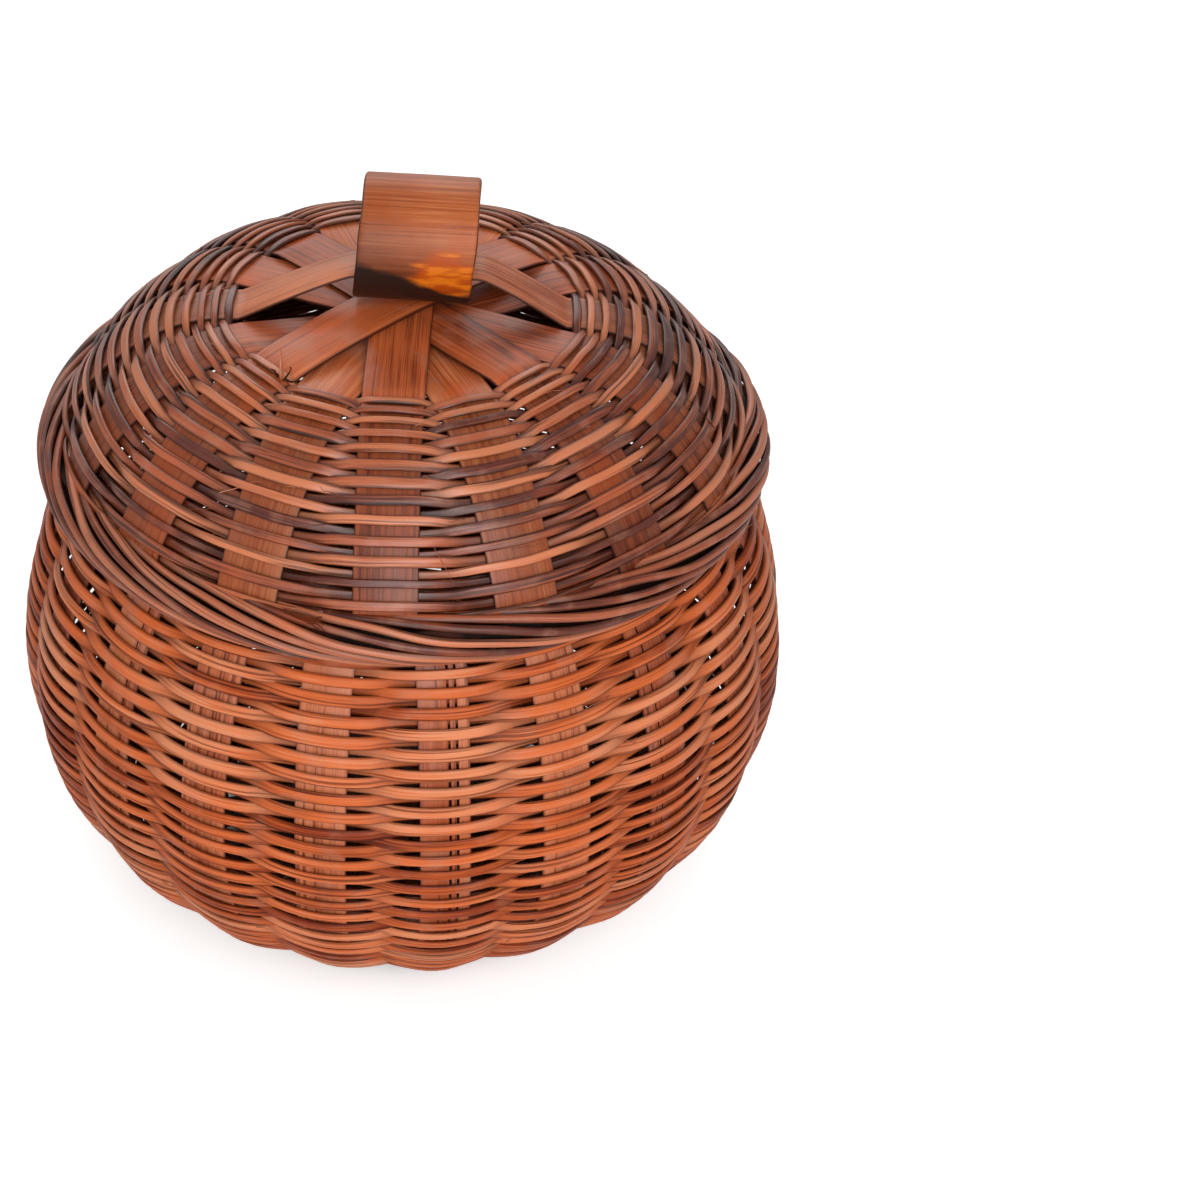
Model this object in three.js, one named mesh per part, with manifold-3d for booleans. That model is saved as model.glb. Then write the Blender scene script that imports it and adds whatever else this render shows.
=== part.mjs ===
// Round lidded basket of split bamboo, in millimetres, +Z up, standing on z = 0 with its axis on Z.
// Front is -Y, and the handle's strap runs along X.
//
// Ten long strips cross under the basket and run up its wall as stakes, held in the weave.
// Seven strips cross in the lid's crown the same way, under a strap that carries a bamboo ring.
// The foot, the mouth and the lid's rim are ropes of bent strands.
import * as THREE from 'three';
import { mergeVertices } from 'three/addons/utils/BufferGeometryUtils.js';
import Module from 'manifold-3d';

const wasm = await Module();
wasm.setup();

// Basket body
const BELLY_RADIUS = 100;
const BELLY_HEIGHT = 71;
const BASE_RADIUS = 50;
const FOOT_HEIGHT = 8;
const SHOULDER_RADIUS = 50;
const SHOULDER_RISE = 75;
const NECK_BEND = 1.5;
const NECK_OVERLAP = 4.5;
const BODY_WALL = 3.4;
const BODY_STRIPS = 10;
const BODY_STRIP_WIDTH = 12.8;
const BODY_FLUTE = 1.4;
const STRIP_THICKNESS = 0.7;

// Weave: thick over the stakes, and pinched on both faces midway between them
const WEAVE_PINCH = 1.1;
const PINCH_START = 5;
const PINCH_RUN = 30;
const LID_PINCH_RUN = 12;

// Ropes: the foot's flat is what the basket stands on
const FOOT_OUTSET = 4;
const FOOT_FLAT = 0.5;
const FOOT_STRANDS = 3;
const FOOT_TURNS = 8;
const MOUTH_ROPE_RADIUS = 2.4;
const MOUTH_STRANDS = 3;
const MOUTH_TURNS = 7;
const RIM_RADIUS = 87;
const RIM_ROPE_RADIUS = 6.5;
const RIM_STRANDS = 12;
const RIM_TURNS = 3;

// Lid: strips are numbered by their steps round from the strap, and listed from the lowest up
const LID_RING_RADIUS = 43;
const LID_RISE = 31.7;
const LID_FLATNESS = 1.72;
const LID_WALL = 3.4;
const LID_STRIP_WIDTH = 15.5;
const CROWN_ORDER = [1, 5, 3, 7, 6, 4, 2];
const CROWN_SAG = 2.6;

// Handle
const STRAP_WIDTH = 14;
const STRAP_WAIST = 12;
const STRAP_LEAD = 1;
const STRAP_BEND = 3;
const STRAP_FOOT = 2.5;
const GRIP_RADIUS = 15.3;
const GRIP_WALL = 4.5;
const GRIP_LENGTH = 28.7;
const GRIP_SHIFT = 3.4;

// Clearances
const SEAT_GAP = 0.3;
const STRIP_GAP = 0.3;
const STRAND_GAP = 0.4;
const LID_CLEARANCE = 2.2;
const STRAP_CLEARANCE = 0.5;

// Fineness of the facets
const FACETS_PER_STAKE = 3;
const LOWER_STEPS = 5;
const UPPER_STEPS = 4;
const DOME_STEPS = 6;
const STACK_STEPS = 6;
const STRAP_STEPS = 4;
const STRAND_SIDES = 5;
const STEPS_PER_TURN = 7;
const RIM_STEPS_PER_TURN = 10;
const CORE_SIDES = 6;
const GRIP_HALF_FACETS = 14;
const SEAT_SAMPLES = 400;

// Bamboo colours
const SPLINT = new THREE.MeshStandardMaterial({ color: 0xa4542c, roughness: 0.45, metalness: 0 });
const STRIP = new THREE.MeshStandardMaterial({ color: 0x95502f, roughness: 0.5, metalness: 0 });
const STRAND = new THREE.MeshStandardMaterial({ color: 0x86472b, roughness: 0.5, metalness: 0 });
const CULM = new THREE.MeshStandardMaterial({ color: 0x9c5a2c, roughness: 0.35, metalness: 0 });

// Places worked out from the sizes above
const FOOT_RADIUS = BASE_RADIUS + FOOT_OUTSET;
const NECK_RADIUS = RIM_RADIUS - RIM_ROPE_RADIUS - LID_CLEARANCE;
const LEVEL_PITCH = STRIP_THICKNESS + STRIP_GAP;
const LID_STAKES = 2 * (CROWN_ORDER.length + 1);
const SHOULDER_REACH = BELLY_RADIUS - SHOULDER_RADIUS;
const SHOULDER_TURN = Math.acos((NECK_RADIUS + NECK_BEND - SHOULDER_RADIUS) / SHOULDER_REACH);

/** Point of the shoulder's curve, from the belly (turn 0) upwards. */
function shoulderPoint(turn) {
  const radius = SHOULDER_RADIUS + SHOULDER_REACH * Math.cos(turn);
  return new THREE.Vector2(radius, BELLY_HEIGHT + SHOULDER_RISE * Math.sin(turn));
}

/** Height of the rim rope's centre when it rests on the shoulder. */
function rimSeatHeight() {
  const clear = RIM_ROPE_RADIUS + SEAT_GAP;
  let height = 0;
  for (let i = 0; i <= SEAT_SAMPLES; i += 1) {
    const point = shoulderPoint((SHOULDER_TURN * i) / SEAT_SAMPLES);
    const offset = Math.abs(point.x - RIM_RADIUS);
    if (offset < clear) height = Math.max(height, point.y + Math.sqrt(clear ** 2 - offset ** 2));
  }
  return height;
}

const RIM_HEIGHT = rimSeatHeight();
const NECK_TOP = RIM_HEIGHT + NECK_OVERLAP;
const DOME_FOOT = RIM_HEIGHT + RIM_ROPE_RADIUS + SEAT_GAP;

/** Outside of the basket's wall, from under the base to the top of the neck. */
function bodyProfile() {
  const points = [];
  for (let i = 0; i < LOWER_STEPS; i += 1) {
    const turn = (Math.PI / 2) * (i / LOWER_STEPS);
    const radius = BASE_RADIUS + (BELLY_RADIUS - BASE_RADIUS) * Math.sin(turn);
    const height = BELLY_HEIGHT - (BELLY_HEIGHT - FOOT_HEIGHT) * Math.cos(turn);
    points.push(new THREE.Vector2(radius, height));
  }
  for (let i = 0; i <= UPPER_STEPS; i += 1) points.push(shoulderPoint((SHOULDER_TURN * i) / UPPER_STEPS));
  points.push(new THREE.Vector2(NECK_RADIUS, points.at(-1).y + 2 * NECK_BEND));
  points.push(new THREE.Vector2(NECK_RADIUS, NECK_TOP));
  return points;
}

/** Height of the basket's underside above the foot's rope. */
function footSeatHeight() {
  const points = bodyProfile();
  const after = points.findIndex((point) => point.x > FOOT_RADIUS);
  const share = (FOOT_RADIUS - points[after - 1].x) / (points[after].x - points[after - 1].x);
  return points[after - 1].clone().lerp(points[after], share).y;
}

const FOOT_ROPE_RADIUS = (footSeatHeight() - SEAT_GAP + FOOT_FLAT) / 2;

/** Outside of the lid's dome, from its rim up to the edge of the crown. */
function domeProfile() {
  const points = [];
  for (let i = 0; i <= DOME_STEPS; i += 1) {
    const turn = (Math.PI / 2) * (1 - i / DOME_STEPS);
    const radius = LID_RING_RADIUS + (RIM_RADIUS - LID_RING_RADIUS) * Math.sin(turn);
    const lift = Math.max(0, Math.cos(turn)) ** LID_FLATNESS;
    points.push(new THREE.Vector2(radius, DOME_FOOT + LID_RISE * lift));
  }
  return points;
}

/** Unit normals on the left-hand outside of a run of points. */
function normals(points) {
  return points.map((point, i) => {
    const before = points[Math.max(0, i - 1)];
    const after = points[Math.min(points.length - 1, i + 1)];
    const along = after.clone().sub(before).normalize();
    return new THREE.Vector2(along.y, -along.x);
  });
}

/** Run of points moved sideways, each by its own depth. The ends keep square to the given end normals. */
function drawnIn(points, depths, endNormals) {
  const sides = normals(points);
  sides[0] = endNormals[0];
  sides[sides.length - 1] = endNormals[1];
  return points.map((point, i) => point.clone().addScaledVector(sides[i], -depths[i]));
}

/** Run of points moved sideways by one depth. */
function inset(points, depth, endNormals) {
  return drawnIn(points, points.map(() => depth), endNormals);
}

const DOWN = new THREE.Vector2(0, -1);
const OUT = new THREE.Vector2(1, 0);
const UP = new THREE.Vector2(0, 1);

/** Share from 0 to 1 of the way from a start over a run. */
function ramp(value, start, run) {
  return THREE.MathUtils.clamp((value - start) / run, 0, 1);
}

/**
 * Closed shell about Z, flat over each stake, with a crease midway between the stakes.
 * Outer and inner are the two faces over a stake.
 * The depths say how far each of their points is drawn in at a crease.
 */
function creasedShell({ outer, inner, outerDepths, innerDepths, endNormals, stakes, firstStake }) {
  const ridge = [...outer, ...inner.toReversed()];
  const outerCrease = drawnIn(outer, outerDepths, endNormals);
  const innerCrease = drawnIn(inner, innerDepths, endNormals);
  const crease = [...outerCrease, ...innerCrease.toReversed()];
  const facets = FACETS_PER_STAKE * stakes;
  const start = firstStake + Math.PI / facets;
  const geometry = new THREE.LatheGeometry([...ridge, ridge[0]], facets, start);
  const place = geometry.attributes.position;
  const count = ridge.length + 1;
  for (let i = 1; i <= facets; i += FACETS_PER_STAKE) {
    const turn = start + (2 * Math.PI * i) / facets;
    for (let k = 0; k < count; k += 1) {
      const point = crease[k % ridge.length];
      place.setXYZ(i * count + k, point.x * Math.sin(turn), point.y, point.x * Math.cos(turn));
    }
  }
  return geometry.rotateX(Math.PI / 2);
}

/** Flat band of constant width that follows a path in the XZ plane. */
function band(path, width, thickness) {
  const sides = normals(path);
  const upper = path.map((point, i) => point.clone().addScaledVector(sides[i], -thickness / 2));
  const lower = path.map((point, i) => point.clone().addScaledVector(sides[i], thickness / 2));
  const shape = new THREE.Shape([...lower, ...upper.toReversed()]);
  const geometry = new THREE.ExtrudeGeometry(shape, { depth: width, bevelEnabled: false, steps: 1 });
  return geometry.translate(0, 0, -width / 2).rotateX(Math.PI / 2);
}

/** Path of a strip from one end to the other, from its half beyond the middle. */
function mirrored(half) {
  const other = half.filter((point) => point.x > 0).map((point) => new THREE.Vector2(-point.x, point.y));
  return [...other.toReversed(), ...half];
}

/** Solid for cutting and joining, from a closed geometry. */
function solid(geometry) {
  const bare = geometry.clone();
  bare.deleteAttribute('normal');
  bare.deleteAttribute('uv');
  const merged = mergeVertices(bare, 1e-4);
  const vertProperties = new Float32Array(merged.attributes.position.array);
  const triVerts = new Uint32Array(merged.index.array);
  return new wasm.Manifold(new wasm.Mesh({ numProp: 3, vertProperties, triVerts }));
}

/** Geometry of a cut or joined solid. */
function geometryOf(manifold) {
  const { vertProperties, triVerts } = manifold.getMesh();
  const geometry = new THREE.BufferGeometry();
  geometry.setAttribute('position', new THREE.BufferAttribute(new Float32Array(vertProperties), 3));
  geometry.setIndex(new THREE.BufferAttribute(new Uint32Array(triVerts), 1));
  return geometry;
}

/** Rotation about Z that lays a strip's X along a bearing, measured from the front towards +X. */
function bearingTurn(bearing) {
  return bearing - Math.PI / 2;
}

/** Woven shell with a slot for each stake. */
function wovenShell(shell, path, bearings, width) {
  let weave = solid(shell);
  for (const [i, bearing] of bearings.entries()) {
    const slot = band(path, width(i) + 2 * STRIP_GAP, STRIP_THICKNESS + 2 * STRIP_GAP);
    weave = weave.subtract(solid(slot.rotateZ(bearingTurn(bearing))));
  }
  return geometryOf(weave);
}

/** Path carried past both of its ends, so that a cut along it comes out. */
function overrun(path, length) {
  const first = path[0].clone().sub(path[1]).setLength(length).add(path[0]);
  const last = path.at(-1).clone().sub(path.at(-2)).setLength(length).add(path.at(-1));
  return [first, ...path, last];
}

/** Distance from the middle within which two strips so many steps apart cross. */
function crossing(steps, spacing, width) {
  return width / 2 / Math.sin((steps * spacing) / 2);
}

/**
 * Levels of strips that cross at one middle, each lying on those listed before it.
 * Each strip has an edge level, which it holds where only its neighbours cross it, and a middle level.
 */
function stackLevels(order, places, width) {
  const spacing = Math.PI / places;
  const reach = crossing(1, spacing, width);
  const levels = new Map();
  for (const strip of order) {
    let edge = 0;
    for (const [other, level] of levels) {
      const apart = Math.abs(strip - other);
      if (Math.min(apart, places - apart) === 1) edge = Math.max(edge, level.edge + 1);
    }
    let middle = edge;
    for (const [other, level] of levels) {
      const apart = Math.abs(strip - other);
      const steps = Math.min(apart, places - apart);
      const share = 1 - (crossing(steps, spacing, width) / reach) ** 2;
      const over = edge - level.edge;
      const need = steps === 1 ? 1 : Math.max(1, (1 - over * (1 - share)) / share);
      middle = Math.max(middle, level.middle + need);
    }
    levels.set(strip, { edge, middle });
  }
  return { levels, reach };
}

/** Half of a crossing strip's path: bowed over the strips below, less their sag, then on along the wall. */
function stakePath({ edge, middle }, reach, sag, wall) {
  const half = [];
  for (let i = 0; i <= STACK_STEPS; i += 1) {
    const along = (reach * i) / STACK_STEPS;
    const bow = 1 - (along / reach) ** 2;
    const level = edge + (middle - edge) * bow;
    half.push(new THREE.Vector2(along, wall[0].y + LEVEL_PITCH * level - sag * bow));
  }
  return [...half, ...wall];
}

/** Every other item first, then the rest, so that neighbours lie in different layers. */
function everyOther(items) {
  return [...items.filter((_, i) => i % 2 === 0), ...items.filter((_, i) => i % 2 === 1)];
}

/** Order of crossing strips, from the lowest up. */
function layeredOrder(count) {
  const all = Array.from({ length: count }, (_, i) => i);
  const split = Math.ceil(count / 2);
  const spread = everyOther(all);
  return [...everyOther(spread.slice(0, split)), ...everyOther(spread.slice(split))];
}

/** Centre line of one strand of a rope that is bent into a ring about Z. */
class StrandCurve extends THREE.Curve {
  constructor(ringRadius, height, orbit, turns, phase) {
    super();
    Object.assign(this, { ringRadius, height, orbit, turns, phase });
  }

  getPoint(t, target = new THREE.Vector3()) {
    const around = 2 * Math.PI * t - Math.PI / 2;
    const roll = this.phase - 2 * Math.PI * t * this.turns;
    const radius = this.ringRadius + this.orbit * Math.cos(roll);
    const height = this.height + this.orbit * Math.sin(roll);
    return target.set(radius * Math.cos(around), radius * Math.sin(around), height);
  }
}

/** Diameter of the strands that fill a rope's outer radius side by side, slanted by their lay. */
function strandDiameter({ ringRadius, ropeRadius, count, turns }) {
  const slant = Math.hypot(1, (turns * ropeRadius) / ringRadius);
  const pack = 1 / (2 * Math.sin(Math.PI / count));
  return (ropeRadius - STRAND_GAP * pack) / (pack * slant + 0.5);
}

/** Strands of a rope ring, the first at its lowest at the front. */
function ropeStrands(rope) {
  const { ringRadius, height, ropeRadius, count, turns, stepsPerTurn } = rope;
  const diameter = strandDiameter(rope);
  const orbit = ropeRadius - diameter / 2;
  return Array.from({ length: count }, (_, i) => {
    const phase = -Math.PI / 2 + (2 * Math.PI * i) / count;
    const curve = new StrandCurve(ringRadius, height, orbit, turns, phase);
    curve.arcLengthDivisions = turns * stepsPerTurn * 20;
    return new THREE.TubeGeometry(curve, turns * stepsPerTurn, diameter / 2, STRAND_SIDES, true);
  });
}

const basket = new THREE.Group();

/** Adds one named piece. */
function addPiece(name, geometry, material, turn = 0) {
  const mesh = new THREE.Mesh(geometry, material);
  mesh.name = name;
  mesh.rotation.z = turn;
  basket.add(mesh);
}

/** The basket's weave and the long strips that cross under it. */
function addBody() {
  const outer = bodyProfile();
  const ends = [DOWN, OUT];
  const middle = inset(outer, BODY_WALL / 2, ends);
  const spacing = Math.PI / BODY_STRIPS;
  const bearings = Array.from({ length: BODY_STRIPS }, (_, i) => (i + 0.5) * spacing);
  const bothEnds = [...bearings, ...bearings.map((bearing) => bearing + Math.PI)];
  const relief = outer.map((point) => ramp(point.x, BASE_RADIUS + PINCH_START, PINCH_RUN));
  const rises = outer.map((point) => ramp(point.y, FOOT_HEIGHT, NECK_TOP - FOOT_HEIGHT));
  const pinches = relief.map((share) => WEAVE_PINCH * share);
  const flutes = relief.map((share, i) => BODY_FLUTE * share * (1 - rises[i] ** 2));
  const shell = creasedShell({
    outer,
    inner: inset(outer, BODY_WALL, ends),
    outerDepths: flutes.map((flute, i) => flute + pinches[i]),
    innerDepths: flutes.map((flute, i) => flute - pinches[i]),
    endNormals: ends,
    stakes: 2 * BODY_STRIPS,
    firstStake: bearings[0],
  });
  const slotPath = overrun(middle, BODY_WALL);
  addPiece('body_weave', wovenShell(shell, slotPath, bothEnds, () => BODY_STRIP_WIDTH), SPLINT);
  const { levels, reach } = stackLevels(layeredOrder(BODY_STRIPS), BODY_STRIPS, BODY_STRIP_WIDTH);
  for (const [strip, level] of levels) {
    const path = mirrored(stakePath(level, reach, 0, middle));
    const geometry = band(path, BODY_STRIP_WIDTH, STRIP_THICKNESS);
    addPiece(`base_strip_${strip + 1}`, geometry, STRIP, bearingTurn(bearings[strip]));
  }
}

/** The foot's rope, cut flat underneath, and the mouth's rope on top of the neck. */
function addBodyRopes() {
  const footStrands = ropeStrands({
    ringRadius: FOOT_RADIUS,
    height: FOOT_ROPE_RADIUS - FOOT_FLAT,
    ropeRadius: FOOT_ROPE_RADIUS,
    count: FOOT_STRANDS,
    turns: FOOT_TURNS,
    stepsPerTurn: STEPS_PER_TURN,
  });
  const span = 2 * (FOOT_RADIUS + 2 * FOOT_ROPE_RADIUS);
  const ground = solid(new THREE.BoxGeometry(span, span, FOOT_HEIGHT).translate(0, 0, -FOOT_HEIGHT / 2));
  footStrands.forEach((strand, i) => {
    addPiece(`foot_strand_${i + 1}`, geometryOf(solid(strand).subtract(ground)), STRAND);
  });
  const mouthStrands = ropeStrands({
    ringRadius: NECK_RADIUS - BODY_WALL / 2,
    height: NECK_TOP + SEAT_GAP + MOUTH_ROPE_RADIUS,
    ropeRadius: MOUTH_ROPE_RADIUS,
    count: MOUTH_STRANDS,
    turns: MOUTH_TURNS,
    stepsPerTurn: STEPS_PER_TURN,
  });
  mouthStrands.forEach((strand, i) => addPiece(`mouth_strand_${i + 1}`, strand, STRAND));
}

/** The lid's rim: strands laid round a core hoop. */
function addRim() {
  const rope = {
    ringRadius: RIM_RADIUS,
    height: RIM_HEIGHT,
    ropeRadius: RIM_ROPE_RADIUS,
    count: RIM_STRANDS,
    turns: RIM_TURNS,
    stepsPerTurn: RIM_STEPS_PER_TURN,
  };
  ropeStrands(rope).forEach((strand, i) => addPiece(`rim_strand_${i + 1}`, strand, STRAND));
  const coreRadius = RIM_ROPE_RADIUS - strandDiameter(rope) - STRAND_GAP;
  const section = Array.from({ length: CORE_SIDES + 1 }, (_, i) => {
    const turn = (2 * Math.PI * i) / CORE_SIDES;
    const reach = RIM_RADIUS + coreRadius * Math.cos(turn);
    return new THREE.Vector2(reach, RIM_HEIGHT + coreRadius * Math.sin(turn));
  });
  const core = new THREE.LatheGeometry(section, RIM_TURNS * RIM_STEPS_PER_TURN);
  addPiece('rim_core', core.rotateX(Math.PI / 2), STRAND);
}

/** Middle of the lid's wall, from the crown's edge down to the rim. */
function lidStakeWall(outer) {
  return inset(outer, LID_WALL / 2, [OUT, UP]).toReversed();
}

/** The lid's weave and the strips that cross in its crown. Returns the height of the crown's top. */
function addLid() {
  const outer = domeProfile();
  const wall = lidStakeWall(outer);
  const spacing = (2 * Math.PI) / LID_STAKES;
  const strapBearing = Math.PI / 2;
  const places = LID_STAKES / 2;
  const bearings = Array.from({ length: LID_STAKES }, (_, i) => strapBearing + i * spacing);
  const ends = [OUT, UP];
  const pinches = outer.map((point) => WEAVE_PINCH * ramp(point.x, LID_RING_RADIUS, LID_PINCH_RUN));
  const shell = creasedShell({
    outer,
    inner: inset(outer, LID_WALL, ends),
    outerDepths: pinches,
    innerDepths: pinches.map((pinch) => -pinch),
    endNormals: ends,
    stakes: LID_STAKES,
    firstStake: strapBearing,
  });
  const widthAt = (i) => (i % places === 0 ? STRAP_WIDTH : LID_STRIP_WIDTH);
  addPiece('lid_weave', wovenShell(shell, overrun(wall, LID_WALL), bearings, widthAt), SPLINT);
  const { levels, reach } = stackLevels(CROWN_ORDER, places, LID_STRIP_WIDTH);
  for (const [strip, level] of levels) {
    const path = mirrored(stakePath(level, reach, CROWN_SAG, wall));
    const geometry = band(path, LID_STRIP_WIDTH, STRIP_THICKNESS);
    addPiece(`crown_strip_${strip}`, geometry, STRIP, bearingTurn(bearings[strip]));
  }
  const topLevel = Math.max(...[...levels.values()].map((level) => level.middle));
  return { crownTop: wall[0].y + LEVEL_PITCH * topLevel - CROWN_SAG + STRIP_THICKNESS / 2, wall };
}

/** One side of the strap's path: level as far as the grip reaches, then down into the lid's wall. */
function strapSide(levelEnd, height, wall) {
  const fall = new THREE.QuadraticBezierCurve(
    new THREE.Vector2(levelEnd, height),
    new THREE.Vector2(levelEnd + STRAP_BEND, height),
    overrun(wall, STRAP_FOOT)[0],
  );
  return [...fall.getPoints(STRAP_STEPS), ...wall];
}

/** The strap, bowed up from the lid through the bamboo ring, which rests on the crown. */
function addHandle({ crownTop, wall }) {
  const gripHeight = crownTop + SEAT_GAP + GRIP_RADIUS;
  const boreRadius = GRIP_RADIUS - GRIP_WALL;
  const ring = new THREE.Shape().absarc(0, 0, GRIP_RADIUS, 0, 2 * Math.PI);
  ring.holes.push(new THREE.Path().absarc(0, 0, boreRadius, 0, 2 * Math.PI, true));
  const options = { depth: GRIP_LENGTH, bevelEnabled: false, steps: 1, curveSegments: GRIP_HALF_FACETS };
  const grip = new THREE.ExtrudeGeometry(ring, options).translate(0, 0, -GRIP_LENGTH / 2);
  addPiece('grip_ring', grip.rotateY(Math.PI / 2).translate(GRIP_SHIFT, 0, gripHeight), CULM);

  const drop = Math.sqrt((boreRadius - STRAP_CLEARANCE) ** 2 - (STRAP_WAIST / 2) ** 2);
  const strapHeight = gripHeight - drop + STRIP_THICKNESS / 2;
  const rightEnd = GRIP_LENGTH / 2 + GRIP_SHIFT + STRAP_LEAD;
  const leftEnd = GRIP_LENGTH / 2 - GRIP_SHIFT + STRAP_LEAD;
  const left = strapSide(leftEnd, strapHeight, wall).map((point) => new THREE.Vector2(-point.x, point.y));
  const path = [...left.toReversed(), ...strapSide(rightEnd, strapHeight, wall)];
  const strap = band(path, STRAP_WIDTH, STRIP_THICKNESS);
  const place = strap.attributes.position;
  for (let i = 0; i < place.count; i += 1) {
    const levelEnd = place.getX(i) > 0 ? rightEnd : leftEnd;
    const share = ramp(Math.abs(place.getX(i)), levelEnd, LID_RING_RADIUS - levelEnd);
    place.setY(i, place.getY(i) * THREE.MathUtils.lerp(STRAP_WAIST / STRAP_WIDTH, 1, share));
  }
  addPiece('handle_strap', strap, STRIP);
}

addBody();
addBodyRopes();
addRim();
addHandle(addLid());

export default basket;
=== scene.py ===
"""Dresses the lidded bamboo basket: woven walls, crossing strips, rope-laid rims and the culm grip."""

from __future__ import annotations

import bisect
import logging
import math
import random
from collections.abc import Callable, Sequence
from dataclasses import dataclass, replace
from enum import Enum

import bmesh
import bpy
from mathutils import Matrix, Vector, noise

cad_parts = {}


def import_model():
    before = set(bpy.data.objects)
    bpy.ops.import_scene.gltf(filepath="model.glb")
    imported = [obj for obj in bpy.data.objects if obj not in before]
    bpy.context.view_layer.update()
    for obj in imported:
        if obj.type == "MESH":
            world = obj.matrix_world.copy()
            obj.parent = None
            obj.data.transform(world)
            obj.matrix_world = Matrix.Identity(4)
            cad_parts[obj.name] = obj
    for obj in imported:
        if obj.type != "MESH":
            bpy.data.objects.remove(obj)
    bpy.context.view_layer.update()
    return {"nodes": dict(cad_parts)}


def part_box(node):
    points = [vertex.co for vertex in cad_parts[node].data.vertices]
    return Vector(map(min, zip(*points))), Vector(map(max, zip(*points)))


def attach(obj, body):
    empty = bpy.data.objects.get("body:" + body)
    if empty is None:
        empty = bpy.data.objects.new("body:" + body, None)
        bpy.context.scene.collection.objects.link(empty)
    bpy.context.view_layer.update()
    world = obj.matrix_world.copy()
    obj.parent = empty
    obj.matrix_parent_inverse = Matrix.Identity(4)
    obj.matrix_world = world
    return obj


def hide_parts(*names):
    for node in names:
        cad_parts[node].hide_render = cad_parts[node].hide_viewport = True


log = logging.getLogger("basket")

TAU = 2 * math.pi
ON_AXIS = 1e-6
MARKS = "bamboo"
FIBRE = "fibre"
SPLINT_FACE = ((0.84, -0.76), (1.0, -0.3), (1.0, 0.3), (0.84, 0.76))
SPLINT_EDGE = ((0.2, 1.0), (-0.5, 1.0), (-1.0, 0.8))
Point = tuple[float, float]
Triple = tuple[float, float, float]
Colour = tuple[float, float, float, float]
Socket = bpy.types.NodeSocket
Value = Socket | float | Sequence[float]


class Body(Enum):
    """Moving bodies that pieces ride on."""

    BASKET = "basket"
    LID = "lid"
    GRIP = "grip"


class Slot(Enum):
    """Material slots of the record."""

    SPLINTS = "splints"
    STRIPS = "strips"
    STRANDS = "strands"
    CULM = "culm"


class Side(Enum):
    """Which way a wall faces, seen along its line."""

    RIGHT = 1
    LEFT = -1


def srgb(red: int, green: int, blue: int) -> Colour:
    """Linear colour of an sRGB triple from 0 to 255.

    Args:
        red: Red part.
        green: Green part.
        blue: Blue part.

    Returns:
        The opaque colour.
    """

    def linear(value: int) -> float:
        """One channel without its display curve."""
        share = value / 255
        return share / 12.92 if share <= 0.04045 else ((share + 0.055) / 1.055) ** 2.4

    return (linear(red), linear(green), linear(blue), 1.0)


def ripple(x: float, y: float, z: float) -> float:
    """Smooth noise from about -1 to 1 at a point."""
    return noise.noise(Vector((x, y, z)))


def ringed(angle: float, pace: float, key: float) -> float:
    """Smooth noise that closes round a ring, quicker with its pace and different for each key."""
    return ripple(pace * math.cos(angle), pace * math.sin(angle), key)


def around(radius: float, angle: float, height: float) -> Vector:
    """Point at a distance from the axis and a bearing, counted from the front towards the right."""
    return Vector((radius * math.sin(angle), -radius * math.cos(angle), height))


def add_object(name: str, data: bpy.types.ID) -> bpy.types.Object:
    """New object, linked to the scene.

    Args:
        name: Name of the object.
        data: Mesh, camera or lamp that it holds.

    Returns:
        The object.
    """
    made = bpy.data.objects.new(name, data)
    bpy.context.scene.collection.objects.link(made)
    return made


class Line:
    """A line of (radius, height) points that is read by its arc length."""

    def __init__(self, points: Sequence[Point], side: Side = Side.RIGHT) -> None:
        """Measures the line.

        Args:
            points: The points in order, in metres.
            side: The side on which the line's outside lies.
        """
        self.points = list(points)
        self.side = side
        self.marks = [0.0]
        for before, after in zip(self.points, self.points[1:]):
            self.marks.append(self.marks[-1] + math.dist(before, after))

    @property
    def length(self) -> float:
        """Whole arc length."""
        return self.marks[-1]

    def point(self, along: float) -> Point:
        """Point at an arc length, carried on straight past the ends.

        Args:
            along: Arc length from the start.

        Returns:
            The (radius, height) point.
        """
        index = min(max(bisect.bisect_right(self.marks, along) - 1, 0), len(self.points) - 2)
        (r0, z0), (r1, z1) = self.points[index], self.points[index + 1]
        span = self.marks[index + 1] - self.marks[index]
        share = (along - self.marks[index]) / span
        return (r0 + (r1 - r0) * share, z0 + (z1 - z0) * share)

    def normal(self, along: float, reach: float = 0.0015) -> Point:
        """Unit normal to the outside, averaged over a short reach.

        Args:
            along: Arc length from the start.
            reach: How far the average goes to each side.

        Returns:
            Its parts along the radius and the height.
        """
        (r0, z0), (r1, z1) = self.point(along - reach), self.point(along + reach)
        size = math.hypot(r1 - r0, z1 - z0) * self.side.value
        return ((z1 - z0) / size, -(r1 - r0) / size)

    def off(self, along: float, depth: float) -> Point:
        """Point at an arc length, moved to the outside by a depth."""
        (radius, height), (out, up) = self.point(along), self.normal(along)
        return (radius + out * depth, height + up * depth)

    def inset(self, depth: float) -> Line:
        """The line moved in from its outside by a depth.

        Args:
            depth: Distance to move it by.

        Returns:
            The moved line.
        """
        moved = []
        for mark, (radius, height) in zip(self.marks, self.points):
            out, up = self.normal(mark)
            moved.append((radius - depth * out, height - depth * up))
        return Line(moved, self.side)

    def carried(self, run: float) -> Line:
        """The line with its end carried straight on."""
        return Line([*self.points, self.point(self.length + run)], self.side)

    def mirrored(self) -> Line:
        """The line joined to its mirror image across the axis, as one line."""
        left = [(-radius, height) for radius, height in reversed(self.points) if radius > ON_AXIS]
        return Line([*left, *self.points], self.side)


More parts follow.
